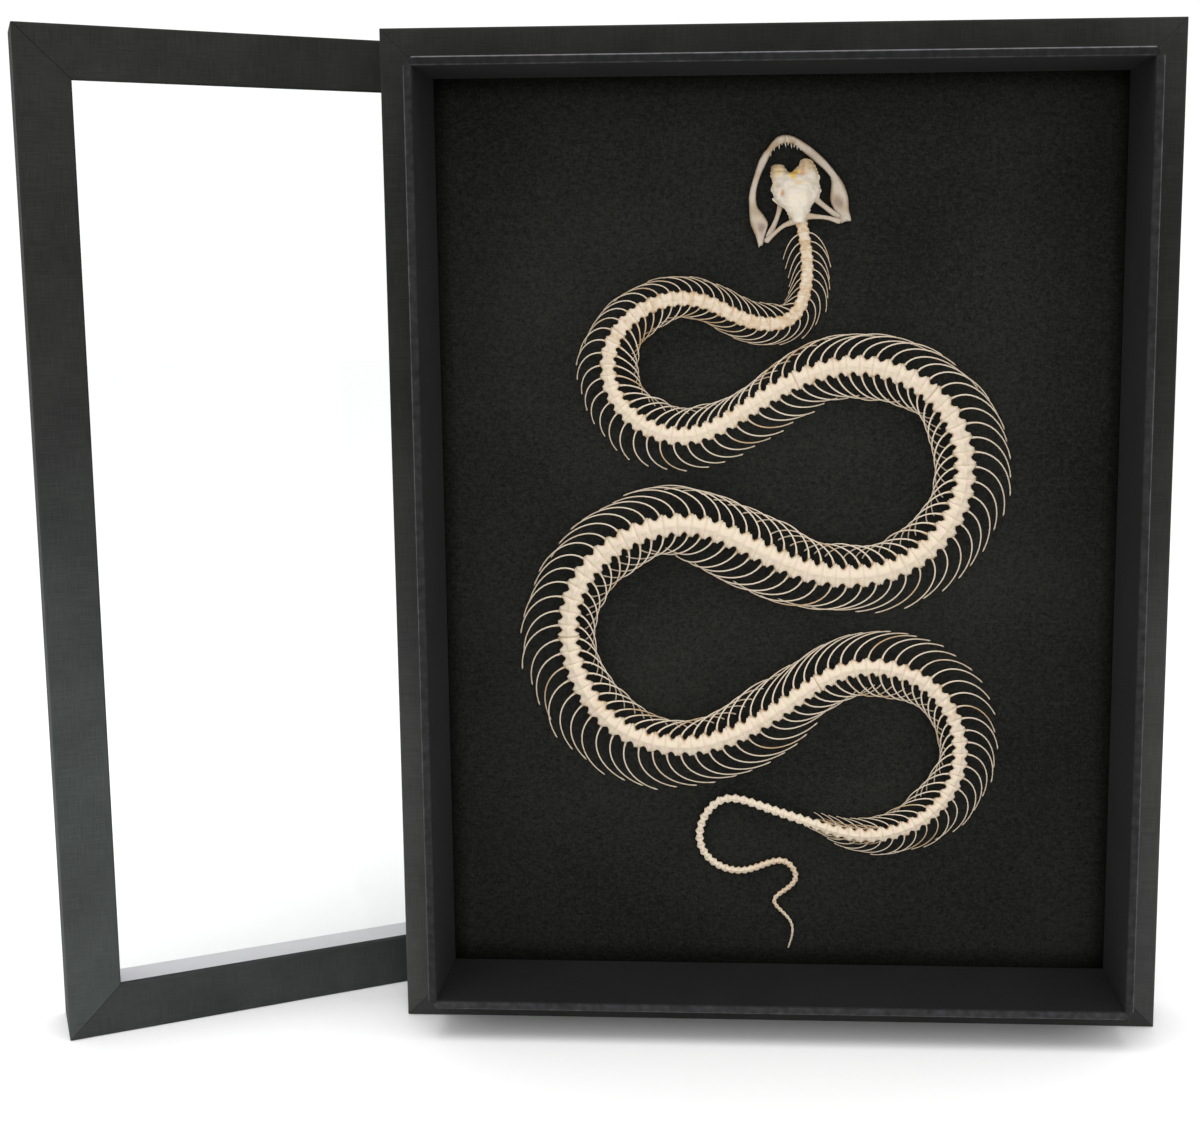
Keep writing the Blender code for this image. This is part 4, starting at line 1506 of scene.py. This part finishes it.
LEFT_PREFRONTAL = [
    (347.6, -1.5, 1.3, 5.0, 6.2), (347.1, -2.5, 2.2, 4.6, 6.9), (346.1, -2.6, 2.8, 4.3, 7.4),
    (345.1, -2.8, 3.6, 4.2, 8.0), (344.1, -2.9, 4.3, 4.2, 8.4), (342.6, -2.4, 4.8, 4.4, 8.8),
    (340.8, -1.6, 4.8, 4.8, 9.0), (338.8, -0.4, 4.0, 5.2, 8.6),
]
RIGHT_PREFRONTAL = [
    (349.7, 9.7, 11.8, 5.0, 6.2), (349.1, 8.8, 13.1, 4.6, 6.9), (347.7, 8.3, 14.0, 4.4, 7.3),
    (346.4, 7.4, 14.8, 4.3, 7.8), (345.2, 6.1, 15.3, 4.2, 8.3), (344.1, 5.3, 15.6, 4.2, 8.7),
    (342.6, 5.4, 15.5, 4.4, 9.2), (340.8, 5.8, 15.0, 4.8, 9.6), (338.8, 6.8, 14.0, 5.2, 9.6),
]
# Each section of a jaw: outer X and Z, inner X and Z, underside and top above the felt, in mm.
LEFT_JAW = [
    (2.85, 359.15, 3.4, 355.95, 0.4, 2.9), (1.2, 358.95, 2.2, 355.9, 0.4, 2.9),
    (-0.8, 358.0, 0.8, 355.3, 0.4, 3.0), (-3.6, 355.0, -2.0, 353.2, 0.4, 3.1),
    (-7.1, 350.0, -4.3, 348.7, 0.4, 3.2), (-9.5, 343.0, -7.0, 342.9, 0.4, 3.3),
    (-11.3, 336.4, -8.5, 337.1, 0.4, 3.6), (-11.3, 331.4, -8.1, 331.7, 0.4, 4.1),
    (-11.1, 327.7, -5.5, 328.0, 0.4, 4.4), (-10.6, 324.4, -3.9, 325.1, 0.4, 4.4),
    (-8.7, 319.9, -4.5, 321.8, 0.4, 3.9), (-7.4, 315.3, -6.1, 316.1, 0.6, 2.8),
]
RIGHT_JAW = [
    (2.87, 359.15, 3.42, 355.95, 0.4, 2.9), (4.6, 359.0, 4.4, 355.85, 0.4, 2.9),
    (6.9, 358.1, 6.0, 355.3, 0.4, 3.0), (9.6, 356.6, 8.2, 353.9, 0.4, 3.1),
    (13.6, 353.8, 11.4, 351.2, 0.4, 3.2), (18.1, 349.8, 14.9, 348.2, 0.4, 3.3),
    (22.4, 344.7, 18.8, 344.8, 0.4, 3.6), (25.6, 340.3, 20.9, 341.1, 0.4, 4.1),
    (27.5, 334.9, 20.5, 334.6, 0.4, 4.4), (28.0, 329.8, 21.6, 330.9, 0.4, 3.9),
    (29.2, 325.6, 24.7, 324.4, 0.6, 2.8),
]
# Each tooth: how far along the jaw's first sections, from 0 at the chin, and its length in mm.
LEFT_TEETH = [(0.5, 2.4), (1.3, 1.3), (2.0, 2.3), (2.7, 1.6), (3.2, 2.0)]
RIGHT_TEETH = [(0.7, 1.6), (1.5, 2.5), (2.1, 1.7), (2.6, 1.9), (3.1, 1.2)]
# Each section of a strut: X, Z, height above the felt, half its width and thickness, in mm.
STRUTS = {
    "quadrate_left": [
        (7.4, 326.0, 6.7, 1.5, 1.1), (4.8, 324.9, 6.5, 1.2, 1.0), (2.4, 323.9, 6.1, 0.95, 0.85),
        (0.1, 322.2, 5.6, 0.85, 0.8), (-2.6, 319.8, 5.1, 0.95, 0.85), (-5.1, 317.6, 4.6, 1.3, 0.95),
    ],
    "quadrate_right": [
        (10.2, 327.5, 6.8, 1.6, 1.1), (12.6, 327.4, 6.6, 1.3, 1.0), (15.7, 327.2, 6.2, 1.0, 0.85),
        (18.8, 326.9, 5.8, 0.9, 0.8), (21.6, 326.2, 5.3, 1.0, 0.8), (24.9, 325.2, 4.8, 1.2, 0.85),
    ],
    "pterygoid_left": [
        (0.9, 334.4, 4.4, 1.6, 0.9), (0.9, 331.6, 4.2, 1.25, 0.75), (0.0, 328.1, 3.9, 1.0, 0.65),
        (-1.3, 324.6, 3.7, 1.05, 0.6), (-2.7, 321.6, 3.7, 1.3, 0.6), (-4.2, 319.0, 3.7, 1.1, 0.6),
    ],
    "pterygoid_right": [
        (13.8, 335.2, 4.4, 1.6, 0.9), (16.5, 332.7, 4.2, 1.2, 0.75), (19.3, 330.5, 4.0, 1.15, 0.65),
        (22.0, 328.4, 4.0, 1.2, 0.6), (24.4, 326.9, 4.0, 1.25, 0.6),
    ],
}


@dataclass(frozen=True)
class Mark:
    """A soft spot on the skull: a swelling, a hollow or a stain, with its place and size in mm."""

    x: float
    z: float
    wide: float
    tall: float
    amount: float

    def at(self, x: float, z: float) -> float:
        """The spot's amount at a place."""
        return self.amount * math.exp(-(((x - self.x) / self.wide) ** 2 + ((z - self.z) / self.tall) ** 2))


# Swellings and hollows, in mm up.
RELIEF = [
    Mark(6.6, 341.5, 0.6, 3.4, -0.55), Mark(3.0, 341.0, 1.9, 2.8, 0.35), Mark(10.6, 341.5, 2.1, 3.0, 0.4),
    Mark(-0.2, 339.3, 1.3, 1.5, -0.8), Mark(14.6, 339.6, 1.2, 2.0, -0.7), Mark(-2.0, 337.8, 0.8, 0.8, 0.7),
    Mark(16.2, 337.6, 0.8, 0.9, 0.7), Mark(1.5, 336.3, 1.0, 1.6, -1.2), Mark(13.2, 336.4, 1.2, 1.6, -0.5),
    Mark(-1.2, 334.3, 0.9, 0.9, 0.7), Mark(15.4, 334.6, 1.2, 0.9, 0.8), Mark(4.4, 335.4, 1.6, 2.4, 0.4),
    Mark(10.6, 335.4, 1.6, 2.4, 0.4), Mark(7.6, 333.0, 0.6, 4.5, 0.45), Mark(7.9, 328.2, 0.5, 2.2, 0.35),
    Mark(5.4, 329.0, 1.0, 1.6, -0.35), Mark(10.9, 329.0, 1.0, 1.6, -0.35), Mark(8.1, 325.6, 3.2, 0.6, 0.5),
    Mark(12.0, 345.6, 0.7, 2.6, -0.45), Mark(0.2, 345.2, 0.7, 1.8, -0.35), Mark(9.4, 347.2, 0.8, 1.6, 0.3),
]
# Stains, as shares of the stain's colour.
YELLOW_STAINS = [
    Mark(5.2, 343.6, 1.3, 1.1, 1.2), Mark(6.2, 342.4, 0.9, 0.9, 0.8), Mark(7.4, 344.6, 1.4, 1.0, 1.0),
    Mark(8.2, 340.4, 3.2, 1.0, 0.5), Mark(6.6, 338.8, 1.6, 0.8, 0.3), Mark(0.6, 344.6, 2.2, 2.2, 0.4),
    Mark(-1.4, 340.6, 1.0, 2.2, 0.3), Mark(5.0, 327.6, 1.2, 3.0, 0.3),
]
RUST_STAINS = [
    Mark(9.9, 346.6, 0.8, 2.4, 0.8), Mark(9.2, 344.2, 0.8, 1.6, 0.7), Mark(10.9, 343.6, 0.9, 1.3, 0.45),
    Mark(12.6, 347.6, 1.2, 1.4, 0.45), Mark(1.6, 336.4, 0.6, 1.2, 0.9), Mark(0.7, 335.4, 0.6, 0.6, 0.4),
    Mark(0.2, 346.0, 1.8, 1.2, 0.35), Mark(4.6, 344.2, 0.5, 0.5, 0.5), Mark(8.0, 324.6, 2.4, 0.7, 0.55),
]


def above_felt(x: float, height: float, z: float) -> Vector:
    """A point in metres from millimetres, given by its height above the felt."""
    return Vector((x, FELT_Y - height, z)) * MM


def rounded_end(share: float, length: float) -> float:
    """Round off the two ends of a form.

    Args:
        share: How far along the form, from 0 to 1.
        length: The share of its length that each end rounds off over.

    Returns:
        The share of its size that it has there.
    """
    near = min(share, 1 - share)
    if near >= length:
        return 1.0
    return max(0.2, math.sqrt(1 - (1 - near / length) ** 2))


def squared(value: float, power: float) -> float:
    """A sine or cosine with its corners filled out."""
    return math.copysign(abs(value) ** power, value)


@dataclass
class Skull:
    """The cranium, the prefrontals, the jaws with their teeth, and the struts between them.

    Sizes are in mm. A dome is widest at widest_at, a share of its height, and its height follows the
    mean of the sections within calming of a place.
    """

    bone: bpy.types.Material
    jaw_bone: bpy.types.Material
    enamel: bpy.types.Material
    calming: float = 2.8
    roughness: float = 0.2
    raggedness: float = 0.3
    widest_at: float = 0.34
    jaw_sides: int = 20
    jaw_cuts: int = 70
    strut_sides: int = 12
    strut_cuts: int = 16
    tooth_sides: int = 8
    tooth_cuts: int = 6
    tooth_radius: float = 0.34

    def build(self) -> None:
        """Make the skull's pieces."""
        self._add_dome("cranium_bone", CRANIUM, "cranium", sides=104, cuts=84, end=0.05)
        self._add_dome("prefrontal_bone_left", LEFT_PREFRONTAL, "prefrontal_left",
                       sides=56, cuts=40, end=0.2)
        self._add_dome("prefrontal_bone_right", RIGHT_PREFRONTAL, "prefrontal_right",
                       sides=56, cuts=46, end=0.2)
        jaws = [(Side.LEFT, LEFT_JAW, LEFT_TEETH), (Side.RIGHT, RIGHT_JAW, RIGHT_TEETH)]
        for side, sections, teeth in jaws:
            self._add_jaw(side, sections)
            self._add_teeth(side, sections, teeth)
        for name, sections in STRUTS.items():
            self._add_strut(name, sections)

    def _add_dome(self, name: str, sections: list[tuple], node: str, sides: int, cuts: int,
                  end: float) -> None:
        """Add a flat-bottomed domed bone.

        Args:
            name: The piece's name.
            sections: Its sections from front to back.
            node: The solid that it replaces.
            sides: Faces round it.
            cuts: Rings along it.
            end: The share of its length that each end rounds off over.
        """
        first, last = sections[0][0], sections[-1][0]
        calm = []
        for z, *_ in sections:
            near = min(self.calming, first - z + 0.6, z - last + 0.6)
            calm.append((z, *np.mean([row[1:] for row in sections if abs(row[0] - z) <= near], axis=0)))

        def place(spot: Vector) -> Vector:
            """Place a point of the dome, whose height follows calmer sections than its outline.

            Args:
                spot: The point in the template's units.

            Returns:
                Its place in metres.
            """
            z, left, right, *_ = through(sections, spot.z * (len(sections) - 1))
            _, calm_left, calm_right, low, high = through(calm, spot.z * (len(sections) - 1))
            size = rounded_end(spot.z, end)
            angle = math.atan2(spot.y, spot.x)
            across = squared(math.cos(angle), 0.75) * size
            lean = math.sin(angle)
            x = (left + right) / 2 + across * (right - left) / 2
            off = min(1.0, abs(2 * x - calm_left - calm_right) / (calm_right - calm_left))
            up = self.widest_at + (self._rise(off) if lean > 0 else -self.widest_at * (-lean) ** 0.6) * size
            height = low + up * (high - low)
            shown = max(0.0, lean) ** 0.5
            height += shown * sum(mark.at(x, z) for mark in RELIEF)
            point = Vector((x, height, z))
            rough = noise.noise(point * 0.6) + 0.5 * noise.noise(point * 1.7)
            height += self.roughness * rough * (0.2 + shown)
            if node != "cranium" and lean > 0:
                sunk = 0.1 + 0.9 * (1 - step(339.8, 342.4, z))
                lift = self._crown(x, z) - sunk - height
                height += lift * (1 - step(340.8, 345.2, z)) * step(0.1, 0.5, lean)
            ragged = noise.noise(Vector((z * 1.5, 7.0 * math.copysign(1.0, across), 0))) * abs(across) ** 3
            x += self.raggedness * ragged
            return above_felt(x, min(height, high + 0.35), z)

        def marks(spot: Vector) -> Numbers:
            """Stains by their place, and tan towards the underside.

            Args:
                spot: The point in the template's units.

            Returns:
                The numbers to store there.
            """
            point = place(spot) / MM
            height = FELT_Y - point.y
            under = 1 - step(3.4, 6.2, height)
            # Tan in the relief's dips: partly staining, partly painted shade in the hollows.
            dip = -min(0.0, sum(mark.at(point.x, point.z) for mark in RELIEF))
            edge = 1 - step(5.0, 8.8, height)
            return {
                AGE: 0.02 + 0.3 * edge + 0.35 * under + 0.35 * dip + self._lobe_tan(point.x, point.z),
                STAIN: sum(mark.at(point.x, point.z) for mark in YELLOW_STAINS),
                RUST: sum(mark.at(point.x, point.z) for mark in RUST_STAINS),
            }

        bm = new_bone_mesh()
        Template.tube(sides, cuts).stamp(bm, place, marks)
        add_piece(name, bm, self.bone, [node])

    @staticmethod
    def _rise(off: float) -> float:
        """How high a dome stands over its widest line, at a share of its half width off its middle."""
        return 0.66 * (1 - off ** 2.6) ** 0.7

    def _crown(self, x: float, z: float) -> float:
        """Find the height of the cranium's top, which the prefrontals run into.

        Args:
            x: The place's X in mm.
            z: Its Z in mm.

        Returns:
            The height above the felt, in mm.
        """
        share = np.interp(-z, [-row[0] for row in CRANIUM], range(len(CRANIUM)))
        _, left, right, low, high = through(CRANIUM, float(share))
        off = min(1.0, abs(2 * x - left - right) / (right - left))
        return low + (self.widest_at + self._rise(off)) * (high - low)

    @staticmethod
    def _lobe_tan(x: float, z: float) -> float:
        """How much more tan the front lobes are than the braincase."""
        return 0.4 * step(342.0, 346.0, z) + 0.25 * hill(x + 1.5, 3.0) * step(337, 343, z)

    @staticmethod
    def _jaw_point(sections: list[tuple], where: float, across: float, up: float) -> Vector:
        """Find a point of a jaw.

        Args:
            sections: The jaw's sections.
            where: The section's number, with a fraction for places between two.
            across: The share of the way from its outer edge to its inner one.
            up: The share of the way from its underside to its top.

        Returns:
            The point, in metres.
        """
        outer_x, outer_z, inner_x, inner_z, low, high = through(sections, where)
        return above_felt(outer_x + (inner_x - outer_x) * across, low + (high - low) * up,
                          outer_z + (inner_z - outer_z) * across)

    def _add_jaw(self, side: Side, sections: list[tuple]) -> None:
        """Add one half of the lower jaw: a slim front and a hollowed blade behind.

        Args:
            side: Which half.
            sections: Its sections from the chin back.
        """
        last = len(sections) - 1
        blade = last - 1.55

        def place(spot: Vector) -> Vector:
            """Place a point of the jaw.

            Args:
                spot: The point in the template's units.

            Returns:
                Its place in metres.
            """
            angle = math.atan2(spot.y, spot.x)
            size = rounded_end(max(spot.z, 0.5), 0.03)
            across = 0.5 - 0.5 * squared(math.cos(angle), 0.85) * size
            up = 0.5 + 0.5 * squared(math.sin(angle), 0.8) * size
            where = spot.z * last
            if math.sin(angle) > 0:
                up -= 0.42 * hill(across - 0.6, 0.24) * hill(where - blade, 0.8)
                up -= 0.14 * hill(across - 0.55, 0.2) * (1 - step(blade - 2.4, blade - 1.4, where))
            point = self._jaw_point(sections, where, across, up)
            tips = step(last - 0.5, last, where) * (abs(2 * across - 1) ** 1.5 - 0.45)
            point.z -= 1.3 * MM * tips
            return point + noise.noise_vector(point * 1100) * 0.05 * MM

        def marks(spot: Vector) -> Numbers:
            """A grey and pinkish hollow in the blade, its grey partly painted shade, and white tips.

            Args:
                spot: The point in the template's units.

            Returns:
                The numbers to store there.
            """
            angle = math.atan2(spot.y, spot.x)
            across = 0.5 - 0.5 * math.cos(angle)
            where = spot.z * last
            # The grey of the hollow is partly painted shade in the recess, partly the bone's own tone.
            hollow = hill(across - 0.6, 0.26) * hill(where - blade, 0.62) * step(0.0, 0.4, math.sin(angle))
            white = step(last - 0.9, last - 0.2, where)
            edge = abs(2 * across - 1) ** 2
            low = 1 - step(-0.5, 0.2, math.sin(angle))
            chin = 0.3 * (1 - step(1.5, 5.5, where))
            patch = 0.8 * noise.noise(Vector((where * 0.8, 4.0 * side.value, across)))
            return {AGE: 0.12 + 0.42 * edge + chin + patch - 0.8 * white + 0.4 * low, HOLLOW: 0.95 * hollow}

        bm = new_bone_mesh()
        Template.tube(self.jaw_sides, self.jaw_cuts).stamp(bm, place, marks)
        add_piece("jaw_" + side.word, bm, self.jaw_bone, ["mandible_" + side.word])

    def _add_teeth(self, side: Side, sections: list[tuple], places: Sequence[tuple[float, float]]) -> None:
        """Add the small back-curved teeth along the inner edge of a jaw's front.

        Args:
            side: Which half of the jaw.
            sections: The jaw's sections.
            places: Where each tooth stands, by section, and its length in mm.
        """
        bm = new_bone_mesh()
        tube = Template.tube(self.tooth_sides, self.tooth_cuts)
        for where, length in places:
            root = self._jaw_point(sections, where, 0.8, 0.55)
            lean = 0.25 * noise.noise(root * 900)

            def place(spot: Vector) -> Vector:
                """Place a point round one tooth.

                Args:
                    spot: The point in the template's units.

                Returns:
                    Its place in metres.
                """
                share = spot.z
                thick = self.tooth_radius * (1 - share) ** 0.7 + 0.05
                middle = Vector((lean * share, -0.5 * share * (1.3 - share), -share)) * length
                return root + (middle + Vector((spot.x, spot.y * 0.9, 0)) * thick) * MM

            tube.stamp(bm, place, lambda spot: {AGE: 0.35 * (1 - spot.z)})
        add_piece("jaw_teeth_" + side.word, bm, self.enamel, ["mandible_" + side.word])

    def _add_strut(self, name: str, sections: list[tuple]) -> None:
        """Add a slim flattened bone with swollen ends.

        Args:
            name: The solid that it replaces.
            sections: Its sections from end to end.
        """
        last = len(sections) - 1

        def middle(share: float) -> tuple[Vector, float, float]:
            """The strut's middle, and its half width and thickness."""
            x, z, height, half, thick = through(sections, share * last)
            return above_felt(x, height, z), half, thick

        def place(spot: Vector) -> Vector:
            """Place a point round the strut.

            Args:
                spot: The point in the template's units.

            Returns:
                Its place in metres.
            """
            centre, half, thick = middle(spot.z)
            ahead, behind = middle(min(spot.z + NEARBY, 1))[0], middle(max(spot.z - NEARBY, 0))[0]
            run = (ahead - behind).normalized()
            across = run.cross(Vector((0, 1, 0))).normalized()
            size = rounded_end(spot.z, 0.08)
            angle = math.atan2(spot.y, spot.x)
            waist = 1 - 0.12 * math.sin(math.pi * spot.z)
            side = across * squared(math.cos(angle), 0.85) * half
            side += across.cross(run) * squared(math.sin(angle), 0.85) * thick
            point = centre + side * size * waist * MM
            return point + noise.noise_vector(point * 1300) * 0.05 * MM

        def marks(spot: Vector) -> Numbers:
            """Whiter along the ridge."""
            ridge = step(0.2, 1.0, math.sin(math.atan2(spot.y, spot.x)))
            return {AGE: 0.32 - 0.35 * ridge + 0.3 * noise.noise(Vector((spot.z * 2.5, last, 0)))}

        bm = new_bone_mesh()
        Template.tube(self.strut_sides, self.strut_cuts).stamp(bm, place, marks)
        bmesh.ops.recalc_face_normals(bm, faces=bm.faces)
        add_piece(name + "_bone", bm, self.jaw_bone, [name])


# ---- Studio --------------------------------------------------------------------------------------
@dataclass
class Studio:
    """The camera, the lights and the pale floor.

    The camera's turns are in radians, its lens is in mm and its shift in shares of the view's width.
    """

    eye: Vector = field(default_factory=lambda: Vector((-0.0083, -0.6533, 0.3021)))
    pan: float = 0.0528
    tilt: float = -0.1355
    roll: float = 0.0065
    lens: float = 49.04
    shift: tuple[float, float] = (-0.0591, -0.0556)
    daylight: float = 1.06

    def build(self) -> None:
        """Set the stage."""
        self._camera()
        self._floor()
        self._soft_light("overhead", Vector((-0.1, -0.35, 1.35)), Vector((0, -0.05, 0.1)), 0.9, 8.0)
        self._soft_light("front", Vector((0.35, -1.9, 0.9)), Vector((0, 0, 0.2)), 1.2, 6.0)
        world = bpy.data.worlds.new("studio_white")
        world.use_nodes = True
        background = world.node_tree.nodes["Background"]
        background.inputs["Color"].default_value = (1, 1, 1, 1)
        background.inputs["Strength"].default_value = self.daylight
        bpy.context.scene.world = world
        bpy.context.scene.view_settings.view_transform = "Standard"

    def _camera(self) -> None:
        """The camera, where the photograph was taken from."""
        data = bpy.data.cameras.new("studio_camera")
        data.sensor_fit = "HORIZONTAL"
        data.lens = self.lens
        data.shift_x, data.shift_y = self.shift
        data.clip_start = 0.02
        camera = bpy.data.objects.new("studio_camera", data)
        turn = Matrix.Rotation(self.pan, 4, "Z") @ Matrix.Rotation(self.tilt, 4, "X")
        turn = turn @ Matrix.Rotation(self.roll, 4, "Y") @ Matrix.Rotation(math.pi / 2, 4, "X")
        camera.matrix_world = Matrix.Translation(self.eye) @ turn
        bpy.context.scene.collection.objects.link(camera)
        bpy.context.scene.camera = camera

    def _floor(self) -> None:
        """A wide pale floor just under the box."""
        bm = bmesh.new()
        bmesh.ops.create_grid(bm, x_segments=4, y_segments=4, size=6.0)
        bmesh.ops.translate(bm, vec=(0, 0, -0.1 * MM), verts=bm.verts)
        mesh = bpy.data.meshes.new("studio_floor")
        bm.to_mesh(mesh)
        bm.free()
        mesh.materials.append(StudioFloor("pale_floor").material())
        floor = bpy.data.objects.new("studio_floor", mesh)
        bpy.context.scene.collection.objects.link(floor)

    def _soft_light(self, name: str, at: Vector, aim: Vector, size: float, power: float) -> None:
        """A large soft light.

        Args:
            name: The light's name.
            at: Where it hangs.
            aim: What it points at.
            size: Its side.
            power: Its power in watts.
        """
        data = bpy.data.lights.new(name, "AREA")
        data.shape = "SQUARE"
        data.size = size
        data.energy = power
        light = bpy.data.objects.new(name, data)
        light.matrix_world = Matrix.Translation(at) @ (aim - at).to_track_quat("-Z", "Y").to_matrix().to_4x4()
        bpy.context.scene.collection.objects.link(light)


def main() -> None:
    """Load the frame, dress every part of it, and set the studio up round it."""
    logging.basicConfig(level=logging.INFO, format="%(message)s")
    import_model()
    box_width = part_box("box_wall_right")[1].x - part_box("box_wall_left")[0].x
    box_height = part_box("box_wall_left")[1].z
    DisplayBox(
        # The low-down gains of these cloths are painted light from below.
        cloth=BookCloth("case_cloth", low_painted_light=(2.65, 2.6, 2.75)).material(),
        # The foot cloth has a smaller gain: painted shade on the bottom wall.
        foot_cloth=BookCloth("case_foot_cloth", low_painted_light=(1.8, 1.8, 1.85)).material(),
        # The neck boards' cloth is a darker copy of the case cloth: painted shade inside the box.
        neck_cloth=BookCloth("neck_cloth", colour=(0.0044, 0.0047, 0.0045), slub=(0.0116, 0.0121, 0.0117),
                             low_painted_light=(1.25, 1.25, 1.25)).material(),
        felt=Felt("black_felt").material(),
    ).build()
    LooseLid(
        cloth=BookCloth("lid_cloth_finish", low_painted_light=(2.5, 2.7, 2.85)).material(),
        # The lid's foot cloth has a smaller gain: painted shade on its bottom rail.
        foot_cloth=BookCloth("lid_foot_cloth", low_painted_light=(1.75, 1.85, 1.95)).material(),
        lining=Lining("lining_paper").material(),
        pane=ClearPane("clear_pane").material(),
        width=box_width,
        height=box_height,
    ).build()
    spine = Backbone()
    Trunk(
        spine,
        neck_bone=DryBone("neck_bone_finish").material(),
        body_bone=DryBone("body_bone_finish").material(),
    ).build()
    Tail(spine, bone=DryBone("tail_bone_finish").material()).build()
    Skull(
        bone=DryBone("skull_bone_finish", clean=(0.63, 0.57, 0.485), flush=(0.64, 0.56, 0.44),
                     tan=(0.50, 0.38, 0.22), rough=0.45).material(),
        jaw_bone=DryBone("jaw_bone_finish", clean=(0.47, 0.405, 0.32), flush=(0.45, 0.375, 0.30),
                         tan=(0.34, 0.25, 0.155), rough=0.42).material(),
        enamel=DryBone("tooth_enamel", clean=(0.42, 0.37, 0.30), flush=(0.42, 0.36, 0.30),
                       rough=0.3).material(),
    ).build()
    Studio().build()


if __name__ == "__main__":
    main()
